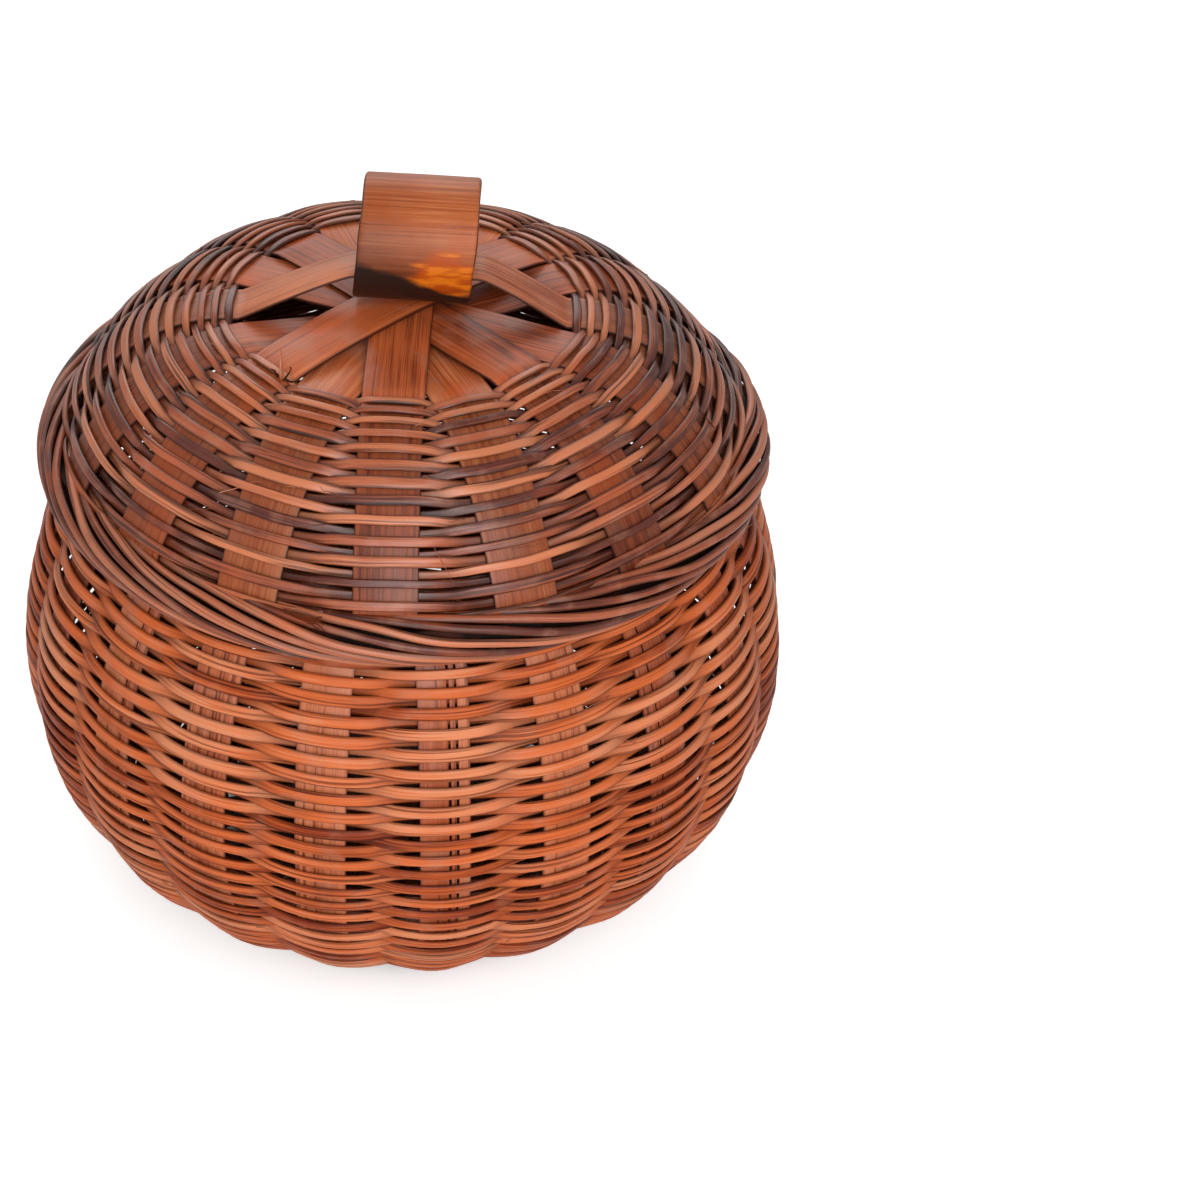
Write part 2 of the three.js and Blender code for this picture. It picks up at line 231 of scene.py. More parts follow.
@dataclass(frozen=True)
class BasketForm:
    """Outside shape of the basket's wall, in metres."""

    belly_radius: float = 0.100
    belly_height: float = 0.071
    base_radius: float = 0.050
    foot_height: float = 0.008
    shoulder_radius: float = 0.050
    shoulder_rise: float = 0.075
    neck_radius: float = 0.0783
    neck_bend: float = 0.0015
    neck_top: float = 0.13776
    wall: float = 0.0034
    steps: int = 60

    def middle(self) -> Line:
        """Middle of the wall, from the base's edge to the top of the neck.

        Returns:
            The line, half a wall in from the outside.
        """
        swell = self.belly_radius - self.base_radius
        drop = self.belly_height - self.foot_height
        points = []
        for i in range(self.steps):
            turn = math.pi / 2 * i / self.steps
            radius = self.base_radius + swell * math.sin(turn)
            points.append((radius, self.belly_height - drop * math.cos(turn)))
        shoulder = self.belly_radius - self.shoulder_radius
        end = math.acos((self.neck_radius + self.neck_bend - self.shoulder_radius) / shoulder)
        for i in range(self.steps + 1):
            turn = end * i / self.steps
            radius = self.shoulder_radius + shoulder * math.cos(turn)
            points.append((radius, self.belly_height + self.shoulder_rise * math.sin(turn)))
        points.append((self.neck_radius, points[-1][1] + 2 * self.neck_bend))
        points.append((self.neck_radius, self.neck_top))
        return Line(points).inset(self.wall / 2)


@dataclass(frozen=True)
class LidForm:
    """Outside shape of the lid's dome, in metres."""

    ring_radius: float = 0.043
    rim_radius: float = 0.087
    dome_foot: float = 0.14006
    rise: float = 0.0317
    flatness: float = 1.72
    wall: float = 0.0034
    steps: int = 80

    def middle(self) -> Line:
        """Middle of the wall, from the crown's edge down to the rim.

        Returns:
            The line, half a wall in from the outside.
        """
        points = []
        for i in range(self.steps + 1):
            turn = math.pi / 2 * i / self.steps
            radius = self.ring_radius + (self.rim_radius - self.ring_radius) * math.sin(turn)
            points.append((radius, self.dome_foot + self.rise * max(0.0, math.cos(turn)) ** self.flatness))
        return Line(points, Side.LEFT).inset(self.wall / 2)


@dataclass
class Mark:
    """Where a vertex lies on its own piece of bamboo, how much of the painted shade it is spared, and the
    tone of that piece.
    """

    along: float
    across: float
    share: float
    unshaded_share: float
    tone: float


class Shape:
    """A mesh under construction whose vertices carry their marks."""

    def __init__(self) -> None:
        """Starts an empty mesh."""
        self.mesh = bmesh.new()
        self.mesh.verts.layers.float_color.new(MARKS)
        self.mesh.loops.layers.uv.new(FIBRE)
        self.marks: dict[bmesh.types.BMVert, Mark] = {}
        self.turn = 0.0
        self.crisp = math.radians(38)

    def finish(self, name: str, body: Body, slot: Slot, material: bpy.types.Material) -> bpy.types.Object:
        """Turns the mesh into a piece that rides a body.

        Args:
            name: Name of the piece.
            body: Body it rides on.
            slot: Material slot of the record; not used.
            material: Finish of the piece.

        Returns:
            The new object, linked to the scene.
        """
        mesh = self.mesh
        bmesh.ops.recalc_face_normals(mesh, faces=mesh.faces)
        colour = mesh.verts.layers.float_color[MARKS]
        fibre = mesh.loops.layers.uv[FIBRE]
        # The second channel of the marks carries the share left unshaded by the painted shade.
        for vert, mark in self.marks.items():
            vert[colour] = (mark.share, mark.unshaded_share, mark.tone, 1.0)
        for edge in mesh.edges:
            edge.smooth = not edge.is_manifold or edge.calc_face_angle() < self.crisp
        for face in mesh.faces:
            face.smooth = True
            first = self.marks[face.verts[0]].along
            for loop in face.loops:
                mark = self.marks[loop.vert]
                along = mark.along
                if self.turn and along - first > self.turn / 2:
                    along -= self.turn
                elif self.turn and first - along > self.turn / 2:
                    along += self.turn
                loop[fibre].uv = (along, mark.across)
        data = bpy.data.meshes.new(name)
        mesh.to_mesh(data)
        mesh.free()
        data.materials.append(material)
        made = add_object(name, data)
        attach(made, body.value)
        return made


Layer = Callable[[int, float, float, float], tuple[Vector, Mark]]


def spun_rings(sections: Sequence[Sequence[Point]], steps: int, lay: Layer, turn: float) -> Shape:
    """Rings of closed sections, spun about Z and then laid in place.

    Args:
        sections: One closed outline of (outward, sideways) points for each ring.
        steps: Steps round the full turn.
        lay: Gives place and mark for a ring's index, its angle and the outline's two offsets.
        turn: Length of the fibre's count for the full turn.

    Returns:
        The shape with its vertices in place.
    """
    shape = Shape()
    mesh = shape.mesh
    for index, section in enumerate(sections):
        loop = [mesh.verts.new((1 + out, 0, index + side)) for out, side in section]
        for start, end in zip(loop, [*loop[1:], loop[0]]):
            mesh.edges.new((start, end))
    bmesh.ops.spin(
        mesh,
        geom=[*mesh.verts, *mesh.edges],
        cent=(0, 0, 0),
        axis=(0, 0, 1),
        dvec=(0, 0, 0),
        angle=TAU,
        steps=steps,
        use_merge=True,
        use_duplicate=False,
    )
    for vert in mesh.verts:
        x, y, z = vert.co
        index = round(z)
        place, mark = lay(index, math.atan2(y, x) % TAU, math.hypot(x, y) - 1, z - index)
        vert.co = place
        shape.marks[vert] = mark
    shape.turn = turn
    return shape


def splint(width: float, thickness: float) -> list[Point]:
    """Closed outline of a splint with a rounded face and square edges."""
    shares = [*SPLINT_FACE, *SPLINT_EDGE, *((out, -side) for out, side in reversed(SPLINT_EDGE))]
    return [(thickness / 2 * out, width / 2 * side) for out, side in shares]


def oval(width: float, thickness: float, sides: int) -> list[Point]:
    """Closed outline of a rod."""
    turns = [TAU * (i + 0.5) / sides for i in range(sides)]
    return [(thickness / 2 * math.cos(turn), width / 2 * math.sin(turn)) for turn in turns]


def between(pairs: Sequence[Point], share: float) -> float:
    """Value at a share, on straight runs between (share, value) pairs.

    Args:
        pairs: Pairs in the order of their shares.
        share: Share at which the value is read.

    Returns:
        The value, which past the last pair stays at that pair's.
    """
    for (s0, v0), (s1, v1) in zip(pairs, pairs[1:]):
        if share <= s1:
            return v0 + (v1 - v0) * (share - s0) / (s1 - s0)
    return pairs[-1][1]


@dataclass
class Weave:
    """Rows of splints that pass over and under the stakes of a wall.

    Pitches are the distances between rows, flutes the depths of the wall's creases between the stakes, and
    tilts how far the rows lean in between the stakes, each as (share of the wall's length, value) pairs.
    """

    node: str
    wall: Line
    stakes: int
    first: float
    start: float
    stop: float
    pitches: Sequence[Point]
    flutes: Sequence[Point]
    width: float
    thickness: float
    swing: float
    sag: float
    wander: float
    seed: int
    stations: int
    thinnest: float = 0.86
    tilts: Sequence[Point] = ((0.0, 0.5), (1.0, 0.5))
    overlap: float = 1.22
    widest: float = 1.08
    pitch_range: Point = (0.93, 1.07)
    thickness_range: Point = (0.85, 1.1)
    splints_per_row: int = 3
    snap: float = 2.4
    squareness: float = 0.75
    flutter: float = 0.25
    unsteady: float = 0.16
    # Unshaded share midway, its swing with the over-and-under wave, and its least: painted shade where
    # splints dive under the stakes.
    unshaded_midway: float = 0.62
    unshaded_swing: float = 0.5
    least_unshaded: float = 0.25
    fibre_run: float = 0.09

    def rows(self) -> list[float]:
        """Arc length of each row's middle.

        Returns:
            The arc lengths, from the wall's start.
        """
        chance = random.Random(self.seed)
        places = []
        along = self.start
        while along < self.stop:
            places.append(along)
            along += between(self.pitches, along / self.wall.length) * chance.uniform(*self.pitch_range)
        return places

    def crease(self, angle: float, along: float) -> float:
        """Depth of the wall's crease, none over a stake."""
        deep = between(self.flutes, along / self.wall.length)
        return deep * (1 - math.cos(self.stakes * (angle - self.first))) / 2

    def lengths(self, count: int, chance: random.Random) -> tuple[list[float], list[float]]:
        """Starts and tones of the splints in one row, each start hidden behind a stake.

        Args:
            count: Number of the row.
            chance: Source of the random draws.

        Returns:
            The starts as bearings in order, and a tone for each.
        """
        hidden = [stake for stake in range(self.stakes) if (stake + count) % 2]
        chosen = chance.sample(hidden, self.splints_per_row)
        starts = sorted((self.first + TAU * stake / self.stakes) % TAU for stake in chosen)
        return starts, [chance.random() for _ in starts]

    def build(self, name: str, body: Body, material: bpy.types.Material, part: slice) -> bpy.types.Object:
        """Weaves some of the rows.

        Args:
            name: Name of the woven piece.
            body: Body that the rows ride on.
            material: Finish of the splints.
            part: Which of the rows, counted from the wall's start.

        Returns:
            The woven piece.
        """
        rows = self.rows()
        low = part.indices(len(rows))[0]
        rows = rows[part]
        chance = random.Random(self.seed + low)
        sizes = [
            (chance.uniform(self.thinnest, self.widest), chance.uniform(*self.thickness_range)) for _ in rows
        ]
        lengths = [self.lengths(low + index, chance) for index in range(len(rows))]
        pitches = [between(self.pitches, row / self.wall.length) for row in rows]
        widths = [min(self.width, self.overlap * pitch) for pitch in pitches]
        sections = [splint(w * wide, self.thickness * thick) for w, (wide, thick) in zip(widths, sizes)]

        def lay(index: int, angle: float, out: float, side: float) -> tuple[Vector, Mark]:
            """Place and mark of one point of a row's outline.

            Args:
                index: Index of the row in this piece.
                angle: Angle round the axis of the spin.
                out: Offset of the outline's point to the outside.
                side: Offset of the outline's point to the side.

            Returns:
                The point's place, and its mark for the finish.
            """
            count = low + index
            beat = math.cos(math.pi * (self.stakes * (angle - self.first) / TAU + count))
            wave = self.squareness * math.tanh(self.snap * beat) / math.tanh(self.snap)
            wave += (1 - self.squareness) * beat * abs(beat)
            along = rows[index] + self.wander * ringed(angle, 2.1, 0.06 * count + self.seed)
            along += self.flutter * self.wander * ringed(angle, 7, 3.7 * count) - self.sag * wave
            lean = between(self.tilts, along / self.wall.length) * (1 - abs(wave))
            deep = out * math.cos(lean) - side * math.sin(lean)
            across = out * math.sin(lean) + side * math.cos(lean)
            depth = self.swing * wave * (1 + self.unsteady * ringed(angle, 5, 9.1 * count)) + deep
            depth -= self.crease(angle, along)
            radius, height = self.wall.off(along + across, depth)
            starts, tones = lengths[index]
            tone = tones[bisect.bisect_right(starts, angle) - 1]
            # Painted shade: darker where the splint dives under a stake, and full shade on the half of its
            # outline that faces inward.
            unshaded_share = min(max(self.unshaded_midway + self.unshaded_swing * wave, self.least_unshaded), 1.0)
            run = (angle - starts[0]) % TAU * self.fibre_run
            mark = Mark(run, side, side / widths[index] + 0.5, unshaded_share if out > 0 else 0.0, tone)
            return around(radius, angle, height), mark

        shape = spun_rings(sections, self.stakes * self.stations, lay, TAU * self.fibre_run)
        made = shape.finish(name, body, Slot.SPLINTS, material)
        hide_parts(self.node)
        return made


@dataclass
class Fibre:
    """One stray fibre: where it starts on the wall, where it runs to and how far its end stands off."""

    bearing: float
    along: float
    length: float
    slope: float
    curl: float
    size: float


@dataclass
class Fibres:
    """Stray fibres that have worked loose from a woven wall."""

    name: str
    weave: Weave
    lift: float
    strays: Sequence[Fibre]
    cuts: int = 5
    tip: float = 0.35
    waver: float = 0.0012
    tone_step: float = 0.37

    def build(self, body: Body, material: bpy.types.Material) -> bpy.types.Object:
        """Draws every fibre straight, and then bends it over the wall.

        Args:
            body: Body that the fibres ride on.
            material: Finish of the fibres.

        Returns:
            All the fibres as one piece.
        """
        shape = Shape()
        mesh = shape.mesh
        for index, stray in enumerate(self.strays):
            bmesh.ops.create_cone(
                mesh,
                cap_ends=True,
                segments=4,
                radius1=stray.size,
                radius2=self.tip * stray.size,
                depth=1.0,
                matrix=Matrix.Translation((0.5, index, 0)) @ Matrix.Rotation(math.pi / 2, 4, "Y"),
            )
        sides = [edge for edge in mesh.edges if edge.calc_length() > 0.5]
        bmesh.ops.subdivide_edges(mesh, edges=sides, cuts=self.cuts)
        for vert in mesh.verts:
            index = round(vert.co.y)
            self.bend(shape, vert, self.strays[index], index)
        made = shape.finish(self.name, body, Slot.SPLINTS, material)
        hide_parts(self.weave.node)
        return made

    def bend(self, shape: Shape, vert: bmesh.types.BMVert, stray: Fibre, index: int) -> None:
        """Moves one vertex of a straight fibre to its place on the wall.

        Args:
            shape: Shape that keeps the marks.
            vert: Vertex to move.
            stray: Fibre that it belongs to.
            index: Number of that fibre.
        """
        share, side, out = vert.co.x, vert.co.y - index, vert.co.z
        wall = self.weave.wall
        run = stray.length * share
        along = stray.along + stray.slope * run + side + self.waver * share * ripple(3 * share, index, 1.5)
        sideways = math.sqrt(max(0.0, 1 - min(1.0, abs(stray.slope)) ** 2)) * run
        angle = stray.bearing + sideways / wall.point(along)[0]
        depth = self.lift + out + stray.curl * share**2 - self.weave.crease(angle, along)
        radius, height = wall.off(along, depth)
        vert.co = around(radius, angle, height)
        shape.marks[vert] = Mark(run, side, 0.5, 1.0, (self.tone_step * index) % 1.0)


def strays(wall: Line, count: int, low: float, high: float, seed: int) -> list[Fibre]:
    """Fibres scattered over a wall between two shares of its length.

    Args:
        wall: Wall that they lie on.
        count: Number of fibres.
        low: Lowest share.
        high: Highest share.
        seed: Seed of the random draws.

    Returns:
        The fibres.
    """
    chance = random.Random(seed)
    return [
        Fibre(
            bearing=chance.uniform(0, TAU),
            along=chance.uniform(low, high) * wall.length,
            length=chance.choice((-1, 1)) * chance.uniform(0.004, 0.013),
            slope=chance.gauss(0, 0.35),
            curl=chance.uniform(-0.0006, 0.0001),
            size=chance.uniform(0.00009, 0.0002),
        )
        for _ in range(count)
    ]


def tufted(start: float, rows: Sequence[Sequence[float]]) -> list[Fibre]:
    """Fibres from rows of bearing in degrees, distance past a start, length, slope, curl and size."""
    return [Fibre(math.radians(row[0]), start + row[1], *row[2:]) for row in rows]


@dataclass
class Rope:
    """Strands laid into a rope that is bent into a ring about Z."""

    name: str
    ring_radius: float
    height: float
    rope_radius: float
    count: int
    turns: int
    gap: float
    seed: int
    steps: int
    looseness: float = 0.0001
    sway: float = 0.12
    uneven: float = 0.09
    thinning: float = 1.5
    wide: float = 1.06
    thin: float = 0.94
    sides: int = 10
    flat_floor: bool = False

    def strand_size(self) -> float:
        """Diameter of one strand, as they fill the rope side by side.

        Returns:
            The diameter.
        """
        slant = math.hypot(1, self.turns * self.rope_radius / self.ring_radius)
        pack = 1 / (2 * math.sin(math.pi / self.count))
        return (self.rope_radius - self.gap * pack) / (pack * slant + 0.5)

    def build(self, body: Body, material: bpy.types.Material) -> list[bpy.types.Object]:
        """Lays each strand as its own piece."""
        return [self.strand(i, body, material) for i in range(self.count)]

    def strand(self, index: int, body: Body, material: bpy.types.Material) -> bpy.types.Object:
        """Lays one strand.

        Args:
            index: Place of the strand in the rope.
            body: Body that the rope rides on.
            material: Finish of the strand.

        Returns:
            The strand.
        """
        size = self.strand_size()
        orbit = self.rope_radius - size / 2
        phase = -math.pi / 2 + TAU * index / self.count
        chance = random.Random(self.seed + index)
        tone = chance.random()
        key = 10.0 * tone + index
        full = 1 - self.uneven * chance.uniform(0.0, self.thinning)

        def lay(_: int, angle: float, out: float, side: float) -> tuple[Vector, Mark]:
            """Place and mark of one point of the strand's outline.

            Args:
                _: Index of the outline, as there is only one.
                angle: Angle round the axis of the spin.
                out: Offset of the outline's point to the outside.
                side: Offset of the outline's point to the side.

            Returns:
                The point's place, and its mark for the finish.
            """
            roll = phase - angle * self.turns + self.sway * ringed(angle, 4, key)
            shrink = full + self.uneven * ringed(angle, 6, key + 5)
            reach = orbit + self.looseness * ringed(angle, 3, key + 9) + out * shrink
            spread = side * shrink
            radius = self.ring_radius + reach * math.cos(roll) - spread * math.sin(roll)
            height = self.height + reach * math.sin(roll) + spread * math.cos(roll)
            if self.flat_floor:
                height = max(height, 0.0)
            run = (angle + math.pi) % TAU * self.ring_radius
            return around(radius, angle, height), Mark(run, side, side / size + 0.5, 1.0, tone)

        section = oval(self.wide * size, self.thin * size, self.sides)
        shape = spun_rings([section], self.steps, lay, TAU * self.ring_radius)
        made = shape.finish(f"{self.name}_{index + 1}_laid", body, Slot.STRANDS, material)
        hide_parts(f"{self.name}_{index + 1}")
        return made


@dataclass
class Band:
    """A flat strip of split bamboo that follows a line through the axis."""

    name: str
    line: Line
    width: float
    thickness: float
    bearing: float
    seed: int
    slits: Sequence[float] = ()
    slit_width: float = 0.0005
    ragged: float = 0.0002
    drift: float = 0.0006
    warp: float = 0.00012
    rounding: float = 0.38
    long_edge: float = 0.05
    waist: Callable[[float], float] | None = None
    # Painted shade where the strip runs under the woven rows: past bright_to from the axis it keeps only the
    # dimmed share, reached over the fade.
    bright_to: float = 1.0
    dimmed: float = 1.0
    fade: float = 0.003
    cuts: int = 120

    def build(self, body: Body, material: bpy.types.Material) -> bpy.types.Object:
        """Splits, bevels and bends the strip.

        Args:
            body: Body that the strip rides on.
            material: Finish of the strip.

        Returns:
            The strip.
        """
        shape = Shape()
        edges = [0.0, *self.slits, 1.0]
        for low, high in zip(edges, edges[1:]):
            self.splinter(shape.mesh, low, high)
        chance = random.Random(self.seed)
        tones = [chance.random() for _ in edges]
        for vert in shape.mesh.verts:
            share = vert.co.y / self.width + 0.5
            self.bend(shape, vert, tones[bisect.bisect_right(edges, share, 1, len(edges) - 1) - 1])
        made = shape.finish(f"{self.name}_bent", body, Slot.STRIPS, material)
        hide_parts(self.name)
        return made

    def splinter(self, mesh: bmesh.types.BMesh, low: float, high: float) -> None:
        """Adds one straight part of the strip between two slits.

        Args:
            mesh: Mesh that takes the part.
            low: Share of the width where it starts.
            high: Share of the width where it ends.
        """
        left = (low - 0.5) * self.width + (self.slit_width / 2 if low > 0 else 0)
        right = (high - 0.5) * self.width - (self.slit_width / 2 if high < 1 else 0)
        corners = bmesh.ops.create_cube(mesh, size=1.0)["verts"]
        for vert in corners:
            vert.co.x *= self.line.length
            vert.co.y = right if vert.co.y > 0 else left
            vert.co.z *= self.thickness
        sides = {edge for vert in corners for edge in vert.link_edges if edge.calc_length() > self.long_edge}
        rounded = bmesh.ops.bevel(
            mesh,
            geom=list(sides),
            offset=self.rounding * self.thickness,
            offset_type="OFFSET",
            segments=2,
            profile=0.5,
            affect="EDGES",
            material=-1,
        )
        faces = {face for vert in rounded["verts"] for face in vert.link_faces}
        sides = {edge for face in faces for edge in face.edges if edge.calc_length() > self.long_edge}
        bmesh.ops.subdivide_edges(mesh, edges=list(sides), cuts=self.cuts)

    def bend(self, shape: Shape, vert: bmesh.types.BMVert, tone: float) -> None:
        """Moves one vertex of the straight strip onto the line.

        Args:
            shape: Shape that keeps the marks.
            vert: Vertex to move.
            tone: Tone of the part of the strip that it belongs to.
        """
        x, y, z = vert.co
        along = x + self.line.length / 2
        key = self.seed * 1.7
        reach = self.line.point(along)[0]
        wide = self.waist(reach) if self.waist else 1.0
        edge = 2 * y / self.width
        side = y * wide + self.ragged * edge * ripple(60 * along, key, 2.0 * math.copysign(1, y))
        side += self.drift * ripple(14 * along, key + 3, 0.5)
        radius, height = self.line.off(along, z + self.warp * ripple(40 * along, 300 * y, key))
        ahead, across = math.sin(self.bearing), math.cos(self.bearing)
        vert.co = (radius * ahead + side * across, side * ahead - radius * across, height)
        # Painted shade past bright_to, and full shade on the underside.
        unshaded_share = between(((-1.0, 1.0), (0.0, 1.0), (self.fade, self.dimmed)), abs(reach) - self.bright_to)
        shape.marks[vert] = Mark(x, y, y / self.width + 0.5, unshaded_share if z > 0 else 0.0, tone)


@dataclass
class Crossing:
    """Strips that cross at the axis, each lying on those listed before it, and run on along a wall."""

    wall: Line
    order: Sequence[int]
    places: int
    width: float
    thickness: float
    gap: float
    bearings: dict[int, float]
    names: dict[int, str]
    slits: dict[int, Sequence[float]]
    seed: int
    sag: float = 0.0
    narrowest: float = 0.93
    widest: float = 1.0
    # Where the strips run in under the woven rows, and the share they keep there against the painted shade.
    bright_to: float = 1.0
    dimmed: float = 1.0
    steps: int = 12
    least_step: float = 0.002

    def reach(self, steps: int) -> float:
        """Distance from the axis within which strips so many steps apart cross."""
        return self.width / 2 / math.sin(steps * math.pi / self.places / 2)

    def levels(self) -> dict[int, tuple[float, float]]:
        """Level at the edge and at the middle of the crossing for each strip.

        Returns:
            Both levels of each strip, counted in strips above the lowest.
        """
        found: dict[int, tuple[float, float]] = {}
        for strip in self.order:
            edge = 0.0
            for other, (low, _) in found.items():
                if self.apart(strip, other) == 1:
                    edge = max(edge, low + 1)
            middle = edge
            for other, (low, high) in found.items():
                steps = self.apart(strip, other)
                share = 1 - (self.reach(steps) / self.reach(1)) ** 2
                need = 1.0 if steps == 1 else max(1.0, (1 - (edge - low) * (1 - share)) / share)
                middle = max(middle, high + need)
            found[strip] = (edge, middle)
        return found

    def apart(self, strip: int, other: int) -> int:
        """Steps between two strips, the shorter way round."""
        away = abs(strip - other)
        return min(away, self.places - away)

    def line(self, level: tuple[float, float]) -> Line:
        """Path of a strip, bowed over the strips below and on along the wall.

        Args:
            level: Levels of the strip at the edge and at the middle.

        Returns:
            The path from end to end.
        """
        edge, middle = level
        reach = self.reach(1)
        base = self.wall.points[0][1]
        half = []
        for i in range(self.steps + 1):
            along = reach * i / self.steps
            bow = 1 - (along / reach) ** 2
            rise = edge + (middle - edge) * bow
            half.append((along, base + (self.thickness + self.gap) * rise - self.sag * bow))
        if self.wall.points[0][0] - half[-1][0] < self.least_step:
            half = half[:-1]
        return Line([*half, *self.wall.points], self.wall.side).mirrored()

    def build(self, body: Body, material: bpy.types.Material) -> list[bpy.types.Object]:
        """Bends every strip.

        Args:
            body: Body that the strips ride on.
            material: Finish of the strips.

        Returns:
            The strips.
        """
        made = []
        for strip, level in self.levels().items():
            chance = random.Random(self.seed + strip)
            band = Band(
                self.names[strip],
                self.line(level),
                self.width * chance.uniform(self.narrowest, self.widest),
                self.thickness,
                self.bearings[strip],
                self.seed + strip,
                self.slits.get(strip, ()),
                bright_to=self.bright_to,
                dimmed=self.dimmed,
            )
            made.append(band.build(body, material))
        return made


class Wiring:
    """Adds and links shader nodes in one tree."""

    def __init__(self, tree: bpy.types.NodeTree) -> None:
        """Takes the tree that the nodes go into."""
        self.tree = tree

    def node(self, kind: str, **settings: object) -> bpy.types.Node:
        """New node with its settings.

        Args:
            kind: Type of the node.
            settings: Its properties by name.

        Returns:
            The node.
        """
        made = self.tree.nodes.new(kind)
        for name, value in settings.items():
            setattr(made, name, value)
        return made

    def feed(self, socket: Socket, value: Value) -> None:
        """Links a socket, or sets its own value.

        Args:
            socket: Socket to feed.
            value: Socket to link it to, or its own value.
        """
        if isinstance(value, Socket):
            self.tree.links.new(value, socket)
        else:
            socket.default_value = value

    def fill(self, node: bpy.types.Node, values: dict[str | int, Value]) -> bpy.types.Node:
        """Feeds several sockets of a node, and hands the node back.

        Args:
            node: Node to feed.
            values: What each socket gets, by its name or number.

        Returns:
            The same node.
        """
        for name, value in values.items():
            self.feed(node.inputs[name], value)
        return node

    def math(self, operation: str, first: Socket | float, second: Socket | float = 0.0) -> Socket:
        """Result of one sum."""
        made = self.node("ShaderNodeMath", operation=operation)
        return self.fill(made, {0: first, 1: second}).outputs[0]

    def weighted(self, start: Socket | float, *parts: tuple[Socket, Socket | float]) -> Socket | float:
        """A start and the values that are added to it, each times its weight.

        Args:
            start: What the sum starts from.
            parts: Values with their weights.

        Returns:
            The sum.
        """
        total = start
        for value, weight in parts:
            total = self.math("ADD", total, self.math("MULTIPLY", value, weight))
        return total

    def vector(self, operation: str, first: Socket, second: Value, result: str = "Vector") -> Socket:
        """Result of one sum on vectors."""
        made = self.node("ShaderNodeVectorMath", operation=operation)
        return self.fill(made, {0: first, 1: second}).outputs[result]

    def noise(self, vector: Socket, scale: float = 1.0, detail: float = 2.0) -> Socket:
        """Noise value at a vector."""
        made = self.node("ShaderNodeTexNoise")
        return self.fill(made, {"Vector": vector, "Scale": scale, "Detail": detail}).outputs["Fac"]

    def step(self, value: Socket, start: Socket | float, end: float, top: Socket | float = 1.0) -> Socket:
        """Smooth step from 0 at the start to a top value at the end.

        Args:
            value: Value to read.
            start: Value where the step starts.
            end: Value where it ends, above or below the start.
            top: Height of the step.

        Returns:
            The height at the value.
        """
        made = self.node("ShaderNodeMapRange", interpolation_type="SMOOTHSTEP")
        limits = {"Value": value, "From Min": start, "From Max": end, "To Min": 0.0, "To Max": top}
        return self.fill(made, limits).outputs["Result"]

    def mix(self, share: Socket | float, first: Socket | Colour, second: Socket | Colour) -> Socket:
        """Colour between two colours."""
        made = self.node("ShaderNodeMix", data_type="RGBA")
        return self.fill(made, {0: share, 6: first, 7: second}).outputs[2]


class Kind(Enum):
    """Kinds of sockets of a node group."""

    VECTOR = "NodeSocketVector"
    VALUE = "NodeSocketFloat"
    COLOUR = "NodeSocketColor"


@dataclass(frozen=True)
class Grain:
    """Scales, weights and limits of the pattern that all the bamboo shares."""

    tone_shift: float = 37.0
    fibre_scale: Triple = (60.0, 3600.0, 1.0)
    streak_scale: Triple = (16.0, 1150.0, 1.0)
    patch_scale: float = 42.0
    cloud_scale: float = 26.0
    ember_scale: float = 48.0
    dust_and_sheen_scale: float = 120.0
    fine: float = 0.42
    broad: float = 0.36
    patch: float = 0.28
    deep_to_plain: Point = (0.32, 0.54)
    plain_to_light: Point = (0.54, 0.74)
    embers: Point = (0.52, 0.66)
    dust_and_sheen: Point = (0.5, 0.68)
    cracks: Point = (0.33, 0.43)
    pools: Point = (0.5, 0.86)
    pooled_cloud: float = 0.55
    pooled_patch: float = 0.45
    deepest_pool: float = 0.9
    # Darkness of the painted shade on fully shaded faces.
    painted_shade_depth: float = 0.62
    least_rough: float = 0.27
    rough_fibre: float = 0.3
    raised_fibre: float = 0.6
    raised_streak: float = 0.8


